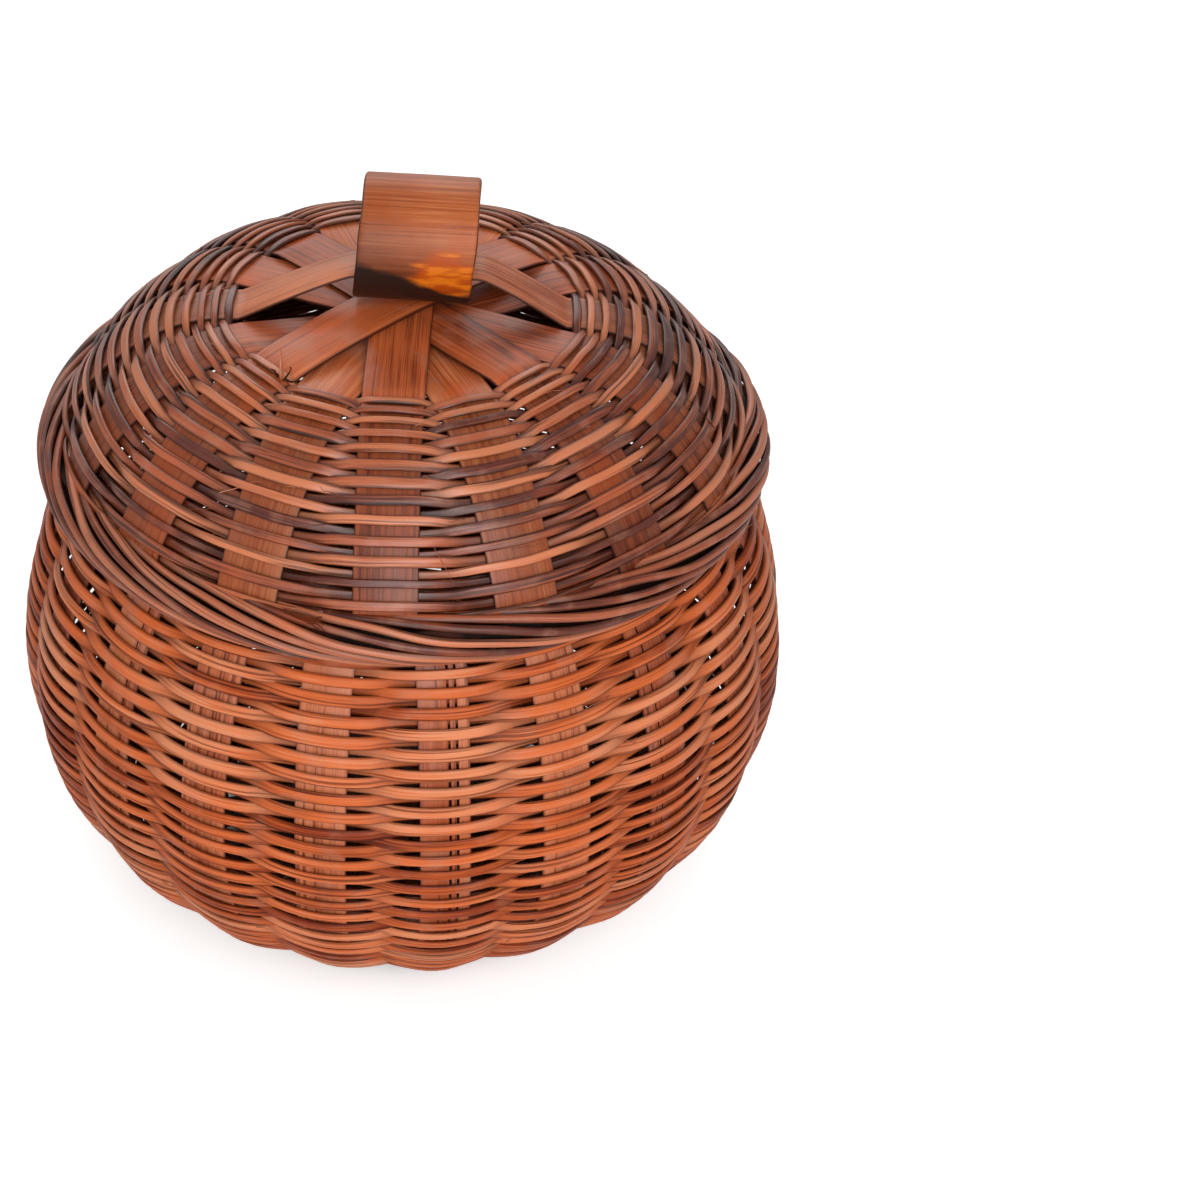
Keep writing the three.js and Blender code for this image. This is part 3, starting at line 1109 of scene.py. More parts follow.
class BambooGroup:
    """Node group that puts out the colour, painted shade and painted sheen included, roughness and relief of
    stained split bamboo.
    """

    SURFACE = {
        "Fibre": Kind.VECTOR,
        "Place": Kind.VECTOR,
        "Across": Kind.VALUE,
        "Facing": Kind.VALUE,
        "Tone": Kind.VALUE,
    }
    COLOURS = ("Light", "Plain", "Deep", "Stain_and_shade", "Dust_and_sheen", "Ember")
    AMOUNTS = ("Stained", "Cracked", "Edged", "Edge", "Dusted_and_sheened", "Mixed", "Clouded", "Embered")
    OUTPUTS = {"Colour": Kind.COLOUR, "Roughness": Kind.VALUE, "Relief": Kind.VALUE}

    def __init__(self) -> None:
        """Builds the group once."""
        self.tree = bpy.data.node_groups.new("stained_bamboo", "ShaderNodeTree")
        colours = dict.fromkeys(self.COLOURS, Kind.COLOUR)
        amounts = dict.fromkeys(self.AMOUNTS, Kind.VALUE)
        for name, kind in {**self.SURFACE, **colours, **amounts}.items():
            self.tree.interface.new_socket(name=name, in_out="INPUT", socket_type=kind.value)
        for name, kind in self.OUTPUTS.items():
            self.tree.interface.new_socket(name=name, in_out="OUTPUT", socket_type=kind.value)
        self.wire(Grain())

    def wire(self, grain: Grain) -> None:
        """Wires fibres, tones, dusting with painted sheen, dark edges of dirt and painted shade, cracks,
        pooled stains and the painted shade of hidden faces.

        Args:
            grain: Numbers of the pattern.
        """
        wiring = Wiring(self.tree)
        given = wiring.node("NodeGroupInput").outputs
        place = given["Place"]
        shift = wiring.math("MULTIPLY", given["Tone"], grain.tone_shift)
        fibre = wiring.vector("ADD", wiring.vector("MULTIPLY", given["Fibre"], grain.fibre_scale), shift)
        streak = wiring.vector("ADD", wiring.vector("MULTIPLY", given["Fibre"], grain.streak_scale), shift)
        fine = wiring.noise(fibre, detail=3.0)
        broad = wiring.noise(streak)
        patch = wiring.noise(place, grain.patch_scale, 3.0)
        cloud = wiring.noise(place, grain.cloud_scale)
        tone = wiring.math("MULTIPLY", wiring.math("SUBTRACT", given["Tone"], 0.5), given["Mixed"])
        tone = wiring.weighted(tone, (fine, grain.fine), (broad, grain.broad), (patch, grain.patch))
        tone = wiring.weighted(tone, (wiring.math("SUBTRACT", cloud, 0.5), given["Clouded"]))
        colour = wiring.mix(wiring.step(tone, *grain.deep_to_plain), given["Deep"], given["Plain"])
        colour = wiring.mix(wiring.step(tone, *grain.plain_to_light), colour, given["Light"])
        thin = wiring.step(wiring.noise(place, grain.ember_scale, 3.0), *grain.embers, given["Embered"])
        colour = wiring.mix(thin, colour, given["Ember"])
        # Pale patches of dusting and wear, which also stand for a painted sheen.
        dust_and_sheen_mix = wiring.step(wiring.noise(place, grain.dust_and_sheen_scale, 4.0), *grain.dust_and_sheen, given["Dusted_and_sheened"])
        colour = wiring.mix(dust_and_sheen_mix, colour, given["Dust_and_sheen"])
        # Dark edges: dirt along the edges, and painted shade that rounds the splints and darkens the gaps
        # between strips.
        away = wiring.math("ABSOLUTE", wiring.math("SUBTRACT", given["Across"], 0.5))
        edge = wiring.step(away, wiring.math("SUBTRACT", 0.5, given["Edge"]), 0.5, given["Edged"])
        thread = wiring.math("SUBTRACT", 1.0, wiring.step(broad, *grain.cracks))
        crack = wiring.math("MULTIPLY", thread, given["Cracked"])
        pooled = wiring.weighted(given["Stained"], (cloud, grain.pooled_cloud), (patch, grain.pooled_patch))
        pool = wiring.step(pooled, *grain.pools, grain.deepest_pool)
        # Painted shade on undersides, on faces turned inward and where splints and strips run under others.
        painted_shade_mix = wiring.math("MULTIPLY", wiring.math("SUBTRACT", 1.0, given["Facing"]), grain.painted_shade_depth)
        for dark in (edge, crack, pool, painted_shade_mix):
            colour = wiring.mix(dark, colour, given["Stain_and_shade"])
        raised = wiring.math("MULTIPLY", fine, grain.raised_fibre)
        results = {
            "Colour": colour,
            "Roughness": wiring.weighted(grain.least_rough, (fine, grain.rough_fibre)),
            "Relief": wiring.weighted(raised, (broad, grain.raised_streak), (crack, -1.0)),
        }
        wiring.fill(wiring.node("NodeGroupOutput"), results)


@dataclass(frozen=True)
class BambooFinish:
    """Stains, painted shade and varnish of one kind of split bamboo."""

    name: str
    light: Colour
    plain: Colour
    deep: Colour
    # Colour of real stains, also used as the colour of the painted shade.
    stain_and_shade: Colour
    stained: float
    cracked: float
    edged: float
    edge: float = 0.15
    # Pale colour of dusting and wear, also used for a painted sheen.
    dust_and_sheen: Colour = srgb(178, 122, 98)
    dusted_and_sheened: float = 0.35
    mixed: float = 0.36
    clouded: float = 0.2
    ember: Colour = srgb(206, 90, 30)
    embered: float = 0.2
    coat: float = 0.08
    coat_roughness: float = 0.3
    shine: float = 0.3
    bump: float = 0.00012
    bump_strength: float = 0.6

    def material(self, group: BambooGroup) -> bpy.types.Material:
        """Material of the finish.

        Args:
            group: Shared bamboo node group.

        Returns:
            The new material.
        """
        made = bpy.data.materials.new(self.name)
        made.use_nodes = True
        wiring = Wiring(made.node_tree)
        bamboo = self.bamboo(wiring, group).outputs
        relief = {"Strength": self.bump_strength, "Distance": self.bump, "Height": bamboo["Relief"]}
        looks = {
            "Base Color": self.colour(wiring, bamboo["Colour"]),
            "Roughness": bamboo["Roughness"],
            "Normal": wiring.fill(wiring.node("ShaderNodeBump"), relief).outputs["Normal"],
            "Specular IOR Level": self.shine,
            "Coat Weight": self.coat,
            "Coat Roughness": self.coat_roughness,
        }
        wiring.fill(made.node_tree.nodes["Principled BSDF"], looks)
        return made

    def bamboo(self, wiring: Wiring, group: BambooGroup) -> bpy.types.Node:
        """Node of the shared group, fed with the surface's marks and the finish's own values.

        Args:
            wiring: Wiring of the material.
            group: Shared bamboo node group.

        Returns:
            The node.
        """
        marks = wiring.node("ShaderNodeAttribute", attribute_name=MARKS)
        parts = wiring.fill(wiring.node("ShaderNodeSeparateColor"), {0: marks.outputs["Color"]}).outputs
        given = {
            "Fibre": wiring.node("ShaderNodeUVMap", uv_map=FIBRE).outputs[0],
            "Place": wiring.node("ShaderNodeTexCoord").outputs["Object"],
            "Across": parts[0],
            "Facing": parts[1],
            "Tone": parts[2],
        }
        for name in (*group.COLOURS, *group.AMOUNTS):
            given[name] = getattr(self, name.lower())
        return wiring.fill(wiring.node("ShaderNodeGroup", node_tree=group.tree), given)

    def colour(self, wiring: Wiring, bamboo: Socket) -> Socket:
        """Colour of the finish: the bamboo's own."""
        return bamboo


@dataclass(frozen=True)
class CulmFinish(BambooFinish):
    """Finish of the grip, with its scorch marks, painted shade low on its front and a painted glow at its
    bright end.

    The steps of painted shade and char are counted from the top of the scorch and shade, and the slope says
    how that top changes along the grip.
    """

    scorch: Colour = (0.012, 0.006, 0.005, 1.0)
    # Painted glow: an amber patch, brightest at glow_at, that stands for light glowing in the culm.
    glow: Colour = (0.40, 0.060, 0.001, 1.0)
    gold: Colour = (0.72, 0.19, 0.008, 1.0)
    glow_at: Triple = (0.0104, -0.0150, 0.1886)
    glow_step: Point = (0.0134, 0.0092)
    glow_ragged: float = 0.009
    glowing: float = 0.96
    gold_step: Point = (0.5, 0.36)
    golden: float = 0.7
    flame: Triple = (90.0, 220.0, 420.0)
    slope: Triple = (0.42, 0.0, 1.0)
    front: Triple = (0.0, -1.0, 0.0)
    front_step: Point = (-0.002, 0.006)
    ragged: float = 0.0048
    ragged_scale: float = 160.0
    scorch_and_shade_top: float = 0.1882
    # Painted shade: darker towards the bottom of the front.
    low_shade_step: Point = (0.021, 0.002)
    low_shade_depth: float = 0.62
    char_step: Point = (0.0036, 0.0010)
    charred: float = 0.96
    speck_scale: float = 330.0
    speck_step: Point = (0.74, 0.79)
    specked: float = 0.85

    def colour(self, wiring: Wiring, bamboo: Socket) -> Socket:
        """Colour of the culm: painted shade and char on its lower front, a painted glow at one end and dark
        specks.

        Args:
            wiring: Wiring of the material.
            bamboo: Colour of the plain bamboo.

        Returns:
            The colour for the shader.
        """
        place = wiring.node("ShaderNodeTexCoord").outputs["Object"]
        flame = wiring.noise(wiring.vector("MULTIPLY", place, self.flame), detail=3.0)
        front = wiring.step(wiring.vector("DOT_PRODUCT", place, self.front, "Value"), *self.front_step)
        height = wiring.vector("DOT_PRODUCT", place, self.slope, "Value")
        height = wiring.weighted(height, (wiring.noise(place, self.ragged_scale, 4.0), self.ragged))
        # Painted shade, darker towards the bottom of the front.
        low_shade = wiring.math("MULTIPLY", self.scorch_and_shade_step(wiring, height, self.low_shade_step, self.low_shade_depth), front)
        colour = wiring.mix(low_shade, bamboo, self.stain_and_shade)
        # Painted glow near one end.
        glow = wiring.vector("DISTANCE", place, self.glow_at, "Value")
        glow = wiring.step(wiring.weighted(glow, (flame, self.glow_ragged)), *self.glow_step, self.glowing)
        amber = wiring.mix(wiring.step(flame, *self.gold_step, self.golden), self.glow, self.gold)
        colour = wiring.mix(glow, colour, amber)
        char = wiring.math("MULTIPLY", self.scorch_and_shade_step(wiring, height, self.char_step, self.charred), front)
        colour = wiring.mix(char, colour, self.scorch)
        specks = wiring.step(wiring.noise(place, self.speck_scale, 1.0), *self.speck_step, self.specked)
        return wiring.mix(specks, colour, self.scorch)

    def scorch_and_shade_step(self, wiring: Wiring, height: Socket, limits: Point, top: float) -> Socket:
        """Step over two limits that are counted from the top of the scorch and shade."""
        start, end = (self.scorch_and_shade_top + limit for limit in limits)
        return wiring.step(height, start, end, top)


@dataclass
class Grip:
    """Short length of bamboo culm that turns on the strap."""

    middle: float
    height: float
    radius: float = 0.0153
    wall: float = 0.0045
    length: float = 0.0287
    round_edge: float = 0.0009
    tilt: float = math.radians(2.0)
    slant: float = 0.06
    out_of_round: float = 0.00022
    roughness: float = 0.00008
    uneven_end: float = 0.0004
    # Share of the bore left unshaded: painted shade inside the culm.
    bore_unshaded: float = 0.3
    tone: float = 0.55
    steps: int = 72
    corner_steps: int = 4
    station: float = 0.0012

    def outline(self) -> list[Point]:
        """Closed outline of the wall as (radius, place along the axis) points with rounded corners.

        Returns:
            The points in order.
        """
        bore = self.radius - self.wall
        half = self.length / 2
        corners = [(self.radius, half, 0), (bore, half, 90), (bore, -half, 180), (self.radius, -half, 270)]
        points = []
        for radius, along, start in corners:
            inward = -1 if radius == self.radius else 1
            back = -1 if along > 0 else 1
            centre = (radius + inward * self.round_edge, along + back * self.round_edge)
            for i in range(self.corner_steps + 1):
                turn = math.radians(start + 90 * i / self.corner_steps)
                out, ahead = self.round_edge * math.cos(turn), self.round_edge * math.sin(turn)
                points.append((centre[0] + out, centre[1] + ahead))
        return self.with_stations(points)

    def with_stations(self, points: list[Point]) -> list[Point]:
        """Outline with extra points along its straight runs.

        Args:
            points: Points of the outline.

        Returns:
            The closer points.
        """
        made = []
        for start, end in zip(points, [*points[1:], points[0]]):
            runs = max(1, round(math.dist(start, end) / self.station))
            for i in range(runs):
                share = i / runs
                made.append((start[0] + (end[0] - start[0]) * share, start[1] + (end[1] - start[1]) * share))
        return made

    def build(self, material: bpy.types.Material) -> bpy.types.Object:
        """Spins the culm and roughens it.

        Args:
            material: Finish of the culm.

        Returns:
            The grip.
        """

        def lay(_: int, angle: float, out: float, side: float) -> tuple[Vector, Mark]:
            """Place and mark of one point of the culm's wall.

            Args:
                _: Index of the outline, as there is only one.
                angle: Angle round the axis of the spin.
                out: Offset of the outline's point to the outside.
                side: Offset of the outline's point to the side.

            Returns:
                The point's place, and its mark for the finish.
            """
            radius = out + self.out_of_round * ringed(angle, 1.3, 20 * side)
            radius += self.roughness * ringed(angle, 9, 60 * side)
            uneven = ringed(angle, 1.6, 4.0 + math.copysign(3, side))
            end = self.uneven_end * uneven * abs(2 * side / self.length) ** 6
            rise = radius * math.sin(angle)
            ahead = side + end + self.slant * rise
            right = self.middle + ahead * math.cos(self.tilt) + rise * math.sin(self.tilt)
            up = self.height + rise * math.cos(self.tilt) - ahead * math.sin(self.tilt)
            # The cut ends take the finish's dark edge of dirt and painted shade.
            cut = 1.0 if abs(side) > self.length / 2 - self.round_edge / 2 else 0.5
            # Painted shade on the bore.
            unshaded_share = self.bore_unshaded if out < self.radius - self.round_edge else 1.0
            mark = Mark(side, angle * self.radius, cut, unshaded_share, self.tone)
            return Vector((right, radius * math.cos(angle), up)), mark

        shape = spun_rings([self.outline()], self.steps, lay, 0.0)
        made = shape.finish("grip_culm", Body.GRIP, Slot.CULM, material)
        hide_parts("grip_ring")
        return made


@dataclass(frozen=True)
class Lamp:
    """Large soft lamp."""

    name: str
    place: Triple
    size: float
    power: float


@dataclass(frozen=True)
class Studio:
    """Camera, plain floor and soft light."""

    aim: Triple = (0.0, 0.0, 0.080)
    distance: float = 0.850
    elevation: float = 36.8
    azimuth: float = 3.0
    lens: float = 96.06
    sensor: float = 36.0
    shift: Point = (0.1638, -0.0008)
    sky: float = 0.42
    white: Colour = (1.0, 1.0, 1.0, 1.0)
    floor_colour: Colour = (0.86, 0.86, 0.86, 1.0)
    floor_size: float = 12.0
    floor_drop: float = 0.0003
    floor_glow: float = 0.5
    glow_step: Point = (0.045, 0.062)
    lamps: tuple[Lamp, ...] = (
        Lamp("key", (0.18, -0.95, 0.75), 0.7, 9.0),
        Lamp("side", (-0.9, -0.25, 0.55), 0.6, 0.6),
        Lamp("fill", (-0.1, -1.3, 0.12), 0.6, 3.2),
        Lamp("back", (-0.15, 1.0, 0.75), 0.8, 4.0),
    )

    def build(self) -> None:
        """Sets up the studio."""
        self.camera()
        self.floor()
        self.world()
        for lamp in self.lamps:
            self.light(lamp)
        bpy.context.scene.view_settings.view_transform = "Standard"

    def aimed(self, name: str, data: bpy.types.ID, place: Vector, toward: Vector) -> bpy.types.Object:
        """New object at a place, turned to look along a direction.

        Args:
            name: Name of the object.
            data: Camera or lamp that it holds.
            place: Where it stands.
            toward: Direction in which it looks.

        Returns:
            The object.
        """
        made = add_object(name, data)
        made.location = place
        made.rotation_mode = "QUATERNION"
        made.rotation_quaternion = toward.to_track_quat("-Z", "Y")
        return made

    def camera(self) -> None:
        """Camera of the photo."""
        turn, rise = math.radians(self.azimuth), math.radians(self.elevation)
        back = Vector((math.sin(turn) * math.cos(rise), -math.cos(turn) * math.cos(rise), math.sin(rise)))
        data = bpy.data.cameras.new("camera")
        data.lens = self.lens
        data.sensor_width = self.sensor
        data.shift_x, data.shift_y = self.shift
        place = Vector(self.aim) + self.distance * back
        bpy.context.scene.camera = self.aimed("camera", data, place, -back)

    def light(self, lamp: Lamp) -> None:
        """Sets up a lamp and turns it to the basket.

        Args:
            lamp: Place, size and power of the lamp.
        """
        data = bpy.data.lights.new(lamp.name, "AREA")
        data.shape = "SQUARE"
        data.size = lamp.size
        data.energy = lamp.power
        self.aimed(lamp.name, data, Vector(lamp.place), Vector(self.aim) - Vector(lamp.place))

    def floor(self) -> None:
        """White floor that keeps the object's shadow."""
        mesh = bmesh.new()
        bmesh.ops.create_grid(mesh, x_segments=1, y_segments=1, size=self.floor_size / 2)
        data = bpy.data.meshes.new("floor")
        mesh.to_mesh(data)
        mesh.free()
        data.materials.append(self.floor_material())
        made = add_object("floor", data)
        made.location.z = -self.floor_drop

    def floor_material(self) -> bpy.types.Material:
        """Pale floor, lightened for the camera alone, but not under the basket.

        Returns:
            The material.
        """
        made = bpy.data.materials.new("floor")
        made.use_nodes = True
        wiring = Wiring(made.node_tree)
        seen = wiring.node("ShaderNodeLightPath").outputs["Is Camera Ray"]
        place = wiring.node("ShaderNodeTexCoord").outputs["Object"]
        flat = wiring.vector("MULTIPLY", place, (1.0, 1.0, 0.0))
        away = wiring.vector("DISTANCE", flat, (0.0, 0.0, 0.0), "Value")
        looks = {
            "Base Color": self.floor_colour,
            "Roughness": 1.0,
            "Specular IOR Level": 0.0,
            "Emission Color": self.white,
            "Emission Strength": wiring.math(
                "MULTIPLY", seen, wiring.step(away, *self.glow_step, self.floor_glow)
            ),
        }
        wiring.fill(made.node_tree.nodes["Principled BSDF"], looks)
        return made

    def world(self) -> None:
        """Even white surroundings."""
        made = bpy.data.worlds.new("studio")
        made.use_nodes = True
        wiring = Wiring(made.node_tree)
        seen = wiring.node("ShaderNodeLightPath").outputs["Is Camera Ray"]
        strength = wiring.weighted(self.sky, (seen, 1.0 - self.sky))
        wiring.fill(made.node_tree.nodes["Background"], {"Color": self.white, "Strength": strength})
        bpy.context.scene.world = made


# Its dark edges are partly painted shade that rounds the splints.
SPLINTS = BambooFinish(
    "body_splints",
    light=srgb(210, 130, 91),
    plain=srgb(198, 98, 51),
    deep=srgb(126, 46, 17),
    stain_and_shade=srgb(46, 10, 3),
    stained=-0.12,
    cracked=0.62,
    edged=0.55,
    edge=0.2,
    dusted_and_sheened=0.25,
    coat=0.02,
    shine=0.12,
)
# Darker than the body's splints, partly its own colour and partly painted shade on the dome's top; its
# dusting partly stands for a painted sheen at grazing angles.
LID_SPLINTS = BambooFinish(
    "lid_splints",
    light=srgb(196, 114, 74),
    plain=srgb(162, 80, 45),
    deep=srgb(86, 31, 14),
    stain_and_shade=srgb(32, 10, 5),
    stained=-0.05,
    cracked=0.65,
    edged=0.7,
    edge=0.22,
    dusted_and_sheened=0.25,
    mixed=0.55,
    coat=0.16,
    shine=0.5,
)
STAKES = BambooFinish(
    "stakes",
    light=srgb(190, 110, 72),
    plain=srgb(158, 76, 44),
    deep=srgb(100, 40, 22),
    stain_and_shade=srgb(32, 11, 6),
    stained=-0.10,
    cracked=0.55,
    edged=0.6,
    edge=0.06,
    coat=0.05,
)
# Its dark edges are partly painted shade in the gaps between the strips.
CROWN = BambooFinish(
    "crown_strips",
    light=srgb(220, 130, 80),
    plain=srgb(188, 92, 48),
    deep=srgb(114, 45, 21),
    stain_and_shade=srgb(42, 13, 7),
    stained=-0.2,
    cracked=0.16,
    edged=0.9,
    edge=0.035,
    dusted_and_sheened=0.3,
    mixed=0.24,
    clouded=0.3,
    embered=0.7,
)
# A lighter copy of the crown strips' finish: painted light on the strap, which is the same bamboo.
STRAP_PAINTED_LIGHTER = replace(
    CROWN,
    name="handle_strap",
    light=srgb(238, 158, 114),
    plain=srgb(214, 126, 84),
    deep=srgb(142, 68, 40),
    stained=-0.35,
    clouded=0.15,
    embered=0.15,
)
STRANDS = BambooFinish(
    "rope_strands",
    light=srgb(186, 108, 74),
    plain=srgb(152, 77, 47),
    deep=srgb(88, 36, 20),
    stain_and_shade=srgb(28, 10, 6),
    stained=-0.02,
    cracked=0.75,
    edged=0.5,
    edge=0.22,
    mixed=0.5,
    shine=0.4,
)
CORE = BambooFinish(
    "rim_core",
    light=srgb(70, 34, 24),
    plain=srgb(48, 22, 15),
    deep=srgb(30, 14, 10),
    stain_and_shade=srgb(18, 9, 7),
    stained=0.0,
    cracked=0.5,
    edged=0.0,
    dusted_and_sheened=0.0,
    coat=0.0,
    shine=0.05,
)
CULM = CulmFinish(
    "grip_culm",
    light=srgb(198, 120, 76),
    plain=srgb(170, 86, 42),
    deep=srgb(118, 52, 22),
    stain_and_shade=srgb(40, 16, 9),
    stained=-0.14,
    cracked=0.25,
    edged=0.85,
    dusted_and_sheened=0.1,
    coat=0.1,
    shine=0.2,
)


@dataclass
class Basket:
    """Woven wall, stakes, foot and mouth of the basket."""

    form: BasketForm
    strips: int = 10
    strip_width: float = 0.0128
    thickness: float = 0.0007
    foot_radius: float = 0.054
    foot_rope: float = 0.0045
    foot_wear: float = 0.0005
    mouth_rope: float = 0.0024
    seat_gap: float = 0.0003
    strand_gap: float = 0.0004
    fibre_lift: float = 0.0014

    def weave(self) -> Weave:
        """Rows of the wall.

        Returns:
            The weave.
        """
        wall = self.form.middle()
        return Weave(
            "body_weave",
            wall,
            stakes=2 * self.strips,
            first=math.pi / self.strips / 2,
            start=0.001,
            stop=wall.length - 0.0003,
            pitches=(
                (0.0, 0.0018),
                (0.15, 0.0021),
                (0.35, 0.0022),
                (0.6, 0.00235),
                (0.8, 0.0026),
                (0.86, 0.0023),
                (0.9, 0.0020),
                (1.0, 0.0020),
            ),
            flutes=((0.0, 0.0003), (0.2, 0.0010), (0.4, 0.0008), (0.6, 0.0005), (1.0, 0.0002)),
            width=0.0031,
            thickness=0.0011,
            swing=0.0013,
            sag=0.00035,
            wander=0.0007,
            seed=11,
            stations=10,
            tilts=((0.0, 0.5), (0.8, 0.5), (0.86, 0.0), (1.0, 0.0)),
        )

    def build(self, group: BambooGroup) -> list[bpy.types.Object]:
        """Builds the basket's own pieces.

        Args:
            group: Shared bamboo node group.

        Returns:
            The pieces.
        """
        weave = self.weave()
        half = len(weave.rows()) // 2
        splints = SPLINTS.material(group)
        stakes = STAKES.material(group)
        strands = STRANDS.material(group)
        loose = strays(weave.wall, count=60, low=0.2, high=0.85, seed=17)
        made = [
            weave.build("body_rows_lower", Body.BASKET, splints, slice(0, half)),
            weave.build("body_rows_upper", Body.BASKET, splints, slice(half, None)),
            Fibres("body_fibres", weave, self.fibre_lift, loose).build(Body.BASKET, strands),
        ]
        made += self.crossing(weave.wall).build(Body.BASKET, stakes)
        return made + self.foot().build(Body.BASKET, strands) + self.mouth().build(Body.BASKET, strands)

    def foot(self) -> Rope:
        """Rope that the basket stands on, worn flat underneath.

        Returns:
            The rope.
        """
        return Rope(
            "foot_strand",
            ring_radius=self.foot_radius,
            height=self.foot_rope - self.foot_wear,
            rope_radius=self.foot_rope,
            count=3,
            turns=8,
            gap=self.strand_gap,
            seed=31,
            steps=220,
            flat_floor=True,
        )

    def mouth(self) -> Rope:
        """Rope border of the mouth.

        Returns:
            The rope.
        """
        return Rope(
            "mouth_strand",
            ring_radius=self.form.neck_radius - self.form.wall / 2,
            height=self.form.neck_top + self.seat_gap + self.mouth_rope,
            rope_radius=self.mouth_rope,
            count=3,
            turns=7,
            gap=self.strand_gap,
            seed=41,
            steps=240,
        )

    def crossing(self, wall: Line) -> Crossing:
        """Strips that cross under the base and rise as stakes.

        Args:
            wall: Middle of the wall that they run on along.

        Returns:
            The strips.
        """
        split = math.ceil(self.strips / 2)
        spread = [*range(0, self.strips, 2), *range(1, self.strips, 2)]
        low, high = spread[:split], spread[split:]
        order = [*low[::2], *low[1::2], *high[::2], *high[1::2]]
        spacing = math.pi / self.strips
        return Crossing(
            wall,
            order,
            places=self.strips,
            width=self.strip_width,
            thickness=self.thickness,
            gap=self.seat_gap,
            bearings={i: (i + 0.5) * spacing for i in range(self.strips)},
            names={i: f"base_strip_{i + 1}" for i in range(self.strips)},
            slits={0: (0.6, 0.75), 2: (0.35,), 4: (0.55, 0.8), 7: (0.3,)},
            seed=61,
        )


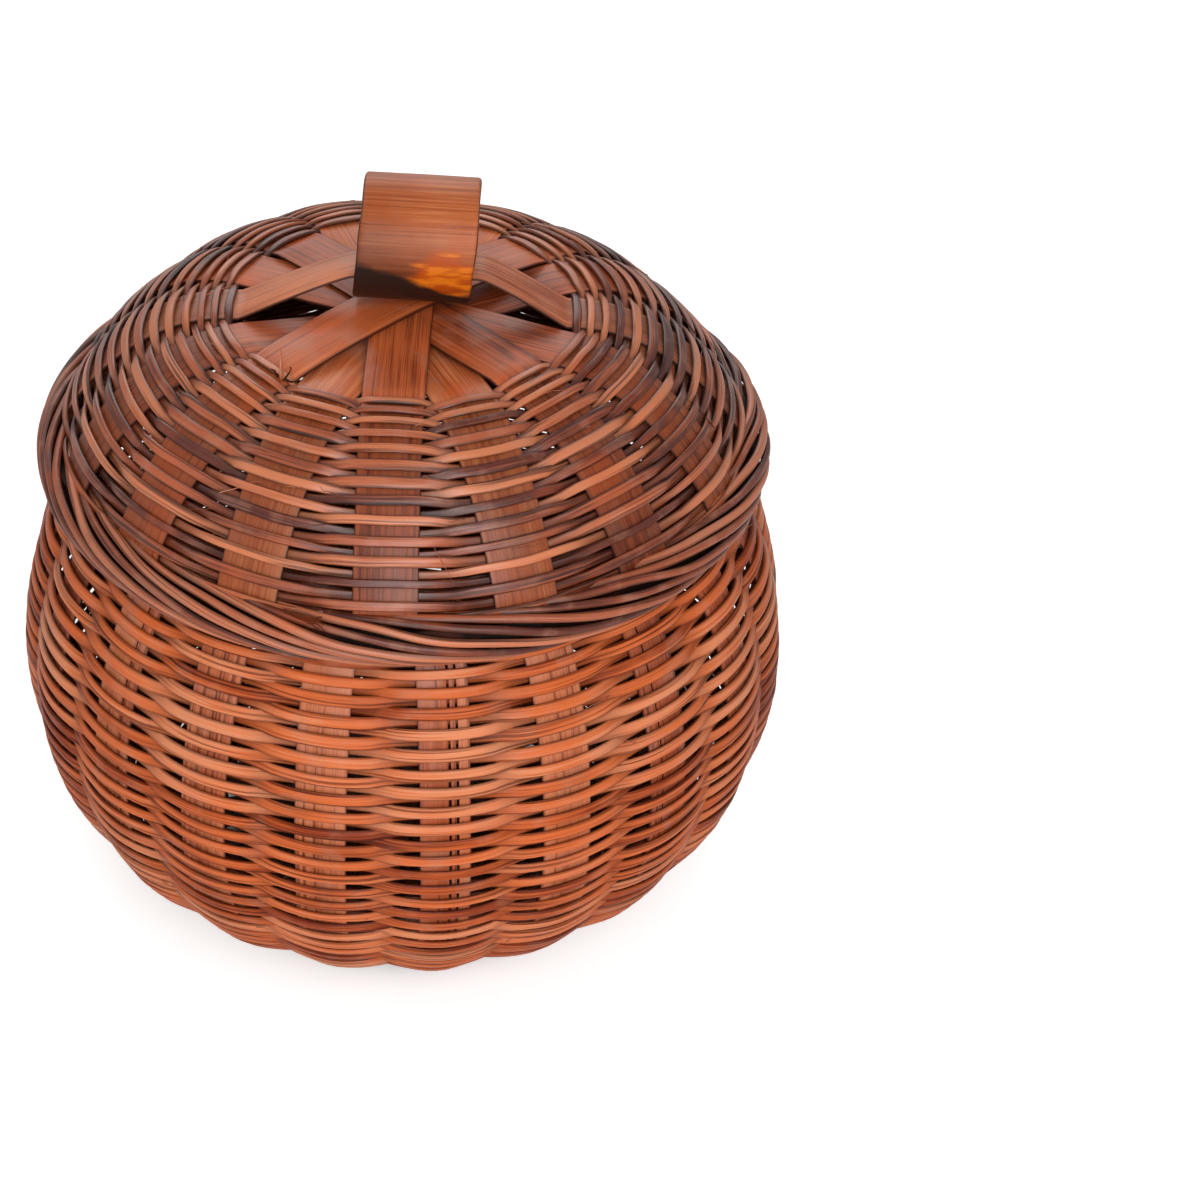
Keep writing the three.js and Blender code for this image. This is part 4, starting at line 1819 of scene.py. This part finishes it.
@dataclass
class Lid:
    """Woven dome, crossing strips, strap and rope rim of the lid."""

    form: LidForm
    grip: Grip
    rim_height: float
    stakes: int = 16
    strip_width: float = 0.0155
    thickness: float = 0.0007
    rim_rope: float = 0.0065
    seat_gap: float = 0.0003
    strand_gap: float = 0.0004
    fibre_lift: float = 0.0014
    tuft_lift: float = 0.0047
    order: tuple[int, ...] = (1, 5, 3, 7, 6, 4, 2)
    sag: float = 0.0031
    strip_tail: float = 0.003
    # Share that the crown strips and the strap keep under the woven rows, against the painted shade.
    dimmed: float = 0.2
    strap_width: float = 0.014
    strap_waist: float = 0.012
    strap_clearance: float = 0.0005
    strap_lead: float = 0.001
    strap_bend: float = 0.003
    strap_foot: float = 0.0025
    strap_steps: int = 12

    def weave(self) -> Weave:
        """Rows of the dome.

        Returns:
            The weave.
        """
        wall = self.form.middle()
        return Weave(
            "lid_weave",
            wall,
            stakes=self.stakes,
            first=math.pi / 2,
            start=0.0006,
            stop=wall.length + 0.0022,
            pitches=((0.0, 0.0016), (0.13, 0.0018), (0.2, 0.0022), (0.6, 0.00235), (1.0, 0.0026)),
            flutes=((0.0, 0.0), (1.0, 0.0)),
            width=0.0027,
            thickness=0.0011,
            swing=0.00125,
            sag=0.0003,
            wander=0.001,
            seed=23,
            stations=14,
            thinnest=0.7,
        )

    def build(self, group: BambooGroup) -> list[bpy.types.Object]:
        """Builds the lid's own pieces.

        Args:
            group: Shared bamboo node group.

        Returns:
            The pieces.
        """
        weave = self.weave()
        splints = LID_SPLINTS.material(group)
        crown = CROWN.material(group)
        strands = bpy.data.materials[STRANDS.name]
        core = CORE.material(group)
        loose = [*strays(weave.wall, count=70, low=0.1, high=0.9, seed=29), *self.broken_end()]
        made = [
            weave.build("lid_rows", Body.LID, splints, slice(None)),
            Fibres("lid_fibres", weave, self.fibre_lift, loose).build(Body.LID, strands),
            Fibres("crown_sprig", weave, self.fibre_lift, self.sprig()).build(Body.LID, core),
            Fibres("rim_tuft", weave, self.tuft_lift, self.tuft(weave.wall)).build(Body.LID, core),
        ]
        wall = weave.wall.carried(self.strip_tail)
        made += self.crossing(wall).build(Body.LID, crown)
        made.append(self.strap(wall).build(Body.LID, STRAP_PAINTED_LIGHTER.material(group)))
        return made + self.rim().build(Body.LID, strands)

    def broken_end(self) -> list[Fibre]:
        """End of a broken splint that stands up at the crown's edge."""
        return tufted(0.0, [(-38, 0.0012, -0.0035, 0.6, 0.0055, 0.0009)])

    def sprig(self) -> list[Fibre]:
        """Dark fibres round the broken splint.

        Returns:
            The fibres.
        """
        rows = (
            (-37, 0.0010, 0.0015, -1.2, 0.0022, 0.0005),
            (-37, 0.0014, 0.0045, 0.1, 0.0006, 0.0004),
            (-39, 0.0014, -0.0035, 0.2, 0.0004, 0.0005),
        )
        return tufted(0.0, rows)

    def tuft(self, wall: Line) -> list[Fibre]:
        """Broken fibres on the front of the rim.

        Args:
            wall: Middle of the dome's wall.

        Returns:
            The fibres.
        """
        rows = (
            (-14, 0.0004, 0.0080, 0.22, -0.0004, 0.00045),
            (-13, 0.0008, 0.0070, 0.30, 0.0004, 0.0004),
            (-15, 0.0002, 0.0085, 0.12, -0.0002, 0.0004),
            (-12, 0.0012, 0.0045, 0.45, 0.0010, 0.00035),
            (-13, 0.0010, 0.0060, -0.10, 0.0008, 0.00035),
        )
        return tufted(wall.length, rows)

    def rim(self) -> Rope:
        """Rope rim of the lid, loosely laid.

        Returns:
            The rope.
        """
        return Rope(
            "rim_strand",
            ring_radius=self.form.rim_radius,
            height=self.rim_height,
            rope_radius=self.rim_rope,
            count=12,
            turns=3,
            gap=self.strand_gap,
            seed=51,
            steps=260,
            looseness=0.0004,
            sway=0.2,
            uneven=0.12,
        )

    def crossing(self, wall: Line) -> Crossing:
        """Strips that cross in the crown.

        Args:
            wall: Middle of the wall that they run on along.

        Returns:
            The strips.
        """
        spacing = TAU / self.stakes
        return Crossing(
            wall,
            self.order,
            places=self.stakes // 2,
            width=self.strip_width,
            thickness=self.thickness,
            gap=self.seat_gap,
            bearings={i: math.pi / 2 + i * spacing for i in self.order},
            names={i: f"crown_strip_{i}" for i in self.order},
            slits={},
            seed=81,
            sag=self.sag,
            narrowest=0.98,
            widest=1.03,
            bright_to=self.form.ring_radius,
            dimmed=self.dimmed,
        )

    def strap_side(self, level: float, height: float, wall: Line) -> list[Point]:
        """One side of the strap's path: level as far as the grip reaches, then down into the wall.

        Args:
            level: Distance from the axis to which it stays level.
            height: Height of the level run.
            wall: Middle of the wall that it runs into.

        Returns:
            The points from near the axis to the wall's end.
        """
        foot = wall.point(-self.strap_foot)
        ends = [Vector((level, height)), Vector((level + self.strap_bend, height)), Vector(foot)]
        path = [(level / 2, height)]
        for i in range(self.strap_steps + 1):
            share = i / self.strap_steps
            near = ends[0].lerp(ends[1], share)
            path.append(tuple(near.lerp(ends[1].lerp(ends[2], share), share)))
        return [*path, *wall.points]

    def strap(self, wall: Line) -> Band:
        """Strap that is bowed up through the grip.

        Args:
            wall: Middle of the wall that it runs into.

        Returns:
            The strap.
        """
        grip = self.grip
        bore = grip.radius - grip.wall - self.strap_clearance
        drop = math.sqrt(bore**2 - (self.strap_waist / 2) ** 2)
        height = grip.height - drop + self.thickness / 2
        right_end = grip.length / 2 + grip.middle + self.strap_lead
        left_end = grip.length / 2 - grip.middle + self.strap_lead
        left = [(-radius, rise) for radius, rise in self.strap_side(left_end, height, wall)]
        line = Line([*reversed(left), *self.strap_side(right_end, height, wall)], wall.side)
        ring = self.form.ring_radius
        slim = self.strap_waist / self.strap_width

        def waist(radius: float) -> float:
            """Share of the strap's width at a distance from the axis, negative on the left.

            Args:
                radius: Distance from the axis.

            Returns:
                The share.
            """
            level = right_end if radius > 0 else left_end
            share = min(max((abs(radius) - level) / (ring - level), 0.0), 1.0)
            return slim + (1 - slim) * share

        return Band(
            "handle_strap",
            line,
            self.strap_width,
            self.thickness,
            math.pi / 2,
            seed=97,
            waist=waist,
            bright_to=ring,
            dimmed=self.dimmed,
        )


def carry_over(node: bpy.types.Object, material: bpy.types.Material) -> None:
    """Gives a carried-over node its procedural finish."""
    node.data.materials.clear()
    node.data.materials.append(material)


def main() -> None:
    """Builds the basket, its lid, the grip and the studio, in that order."""
    logging.basicConfig(level=logging.INFO, format="%(name)s: %(message)s")
    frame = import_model()
    low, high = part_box("grip_ring")
    grip = Grip((low.x + high.x) / 2, (low.z + high.z) / 2)
    low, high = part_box("rim_core")
    rim_height = (low.z + high.z) / 2
    group = BambooGroup()
    built = {
        "basket": Basket(BasketForm(neck_top=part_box("body_weave")[1].z)).build(group),
        "lid": Lid(LidForm(dome_foot=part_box("lid_weave")[0].z), grip, rim_height).build(group),
        "grip": [grip.build(CULM.material(group))],
    }
    for label, pieces in built.items():
        for piece in pieces:
            log.info("%s: %s", label, piece.name)
    carry_over(frame["nodes"]["rim_core"], bpy.data.materials[CORE.name])
    Studio().build()


if __name__ == "__main__":
    main()
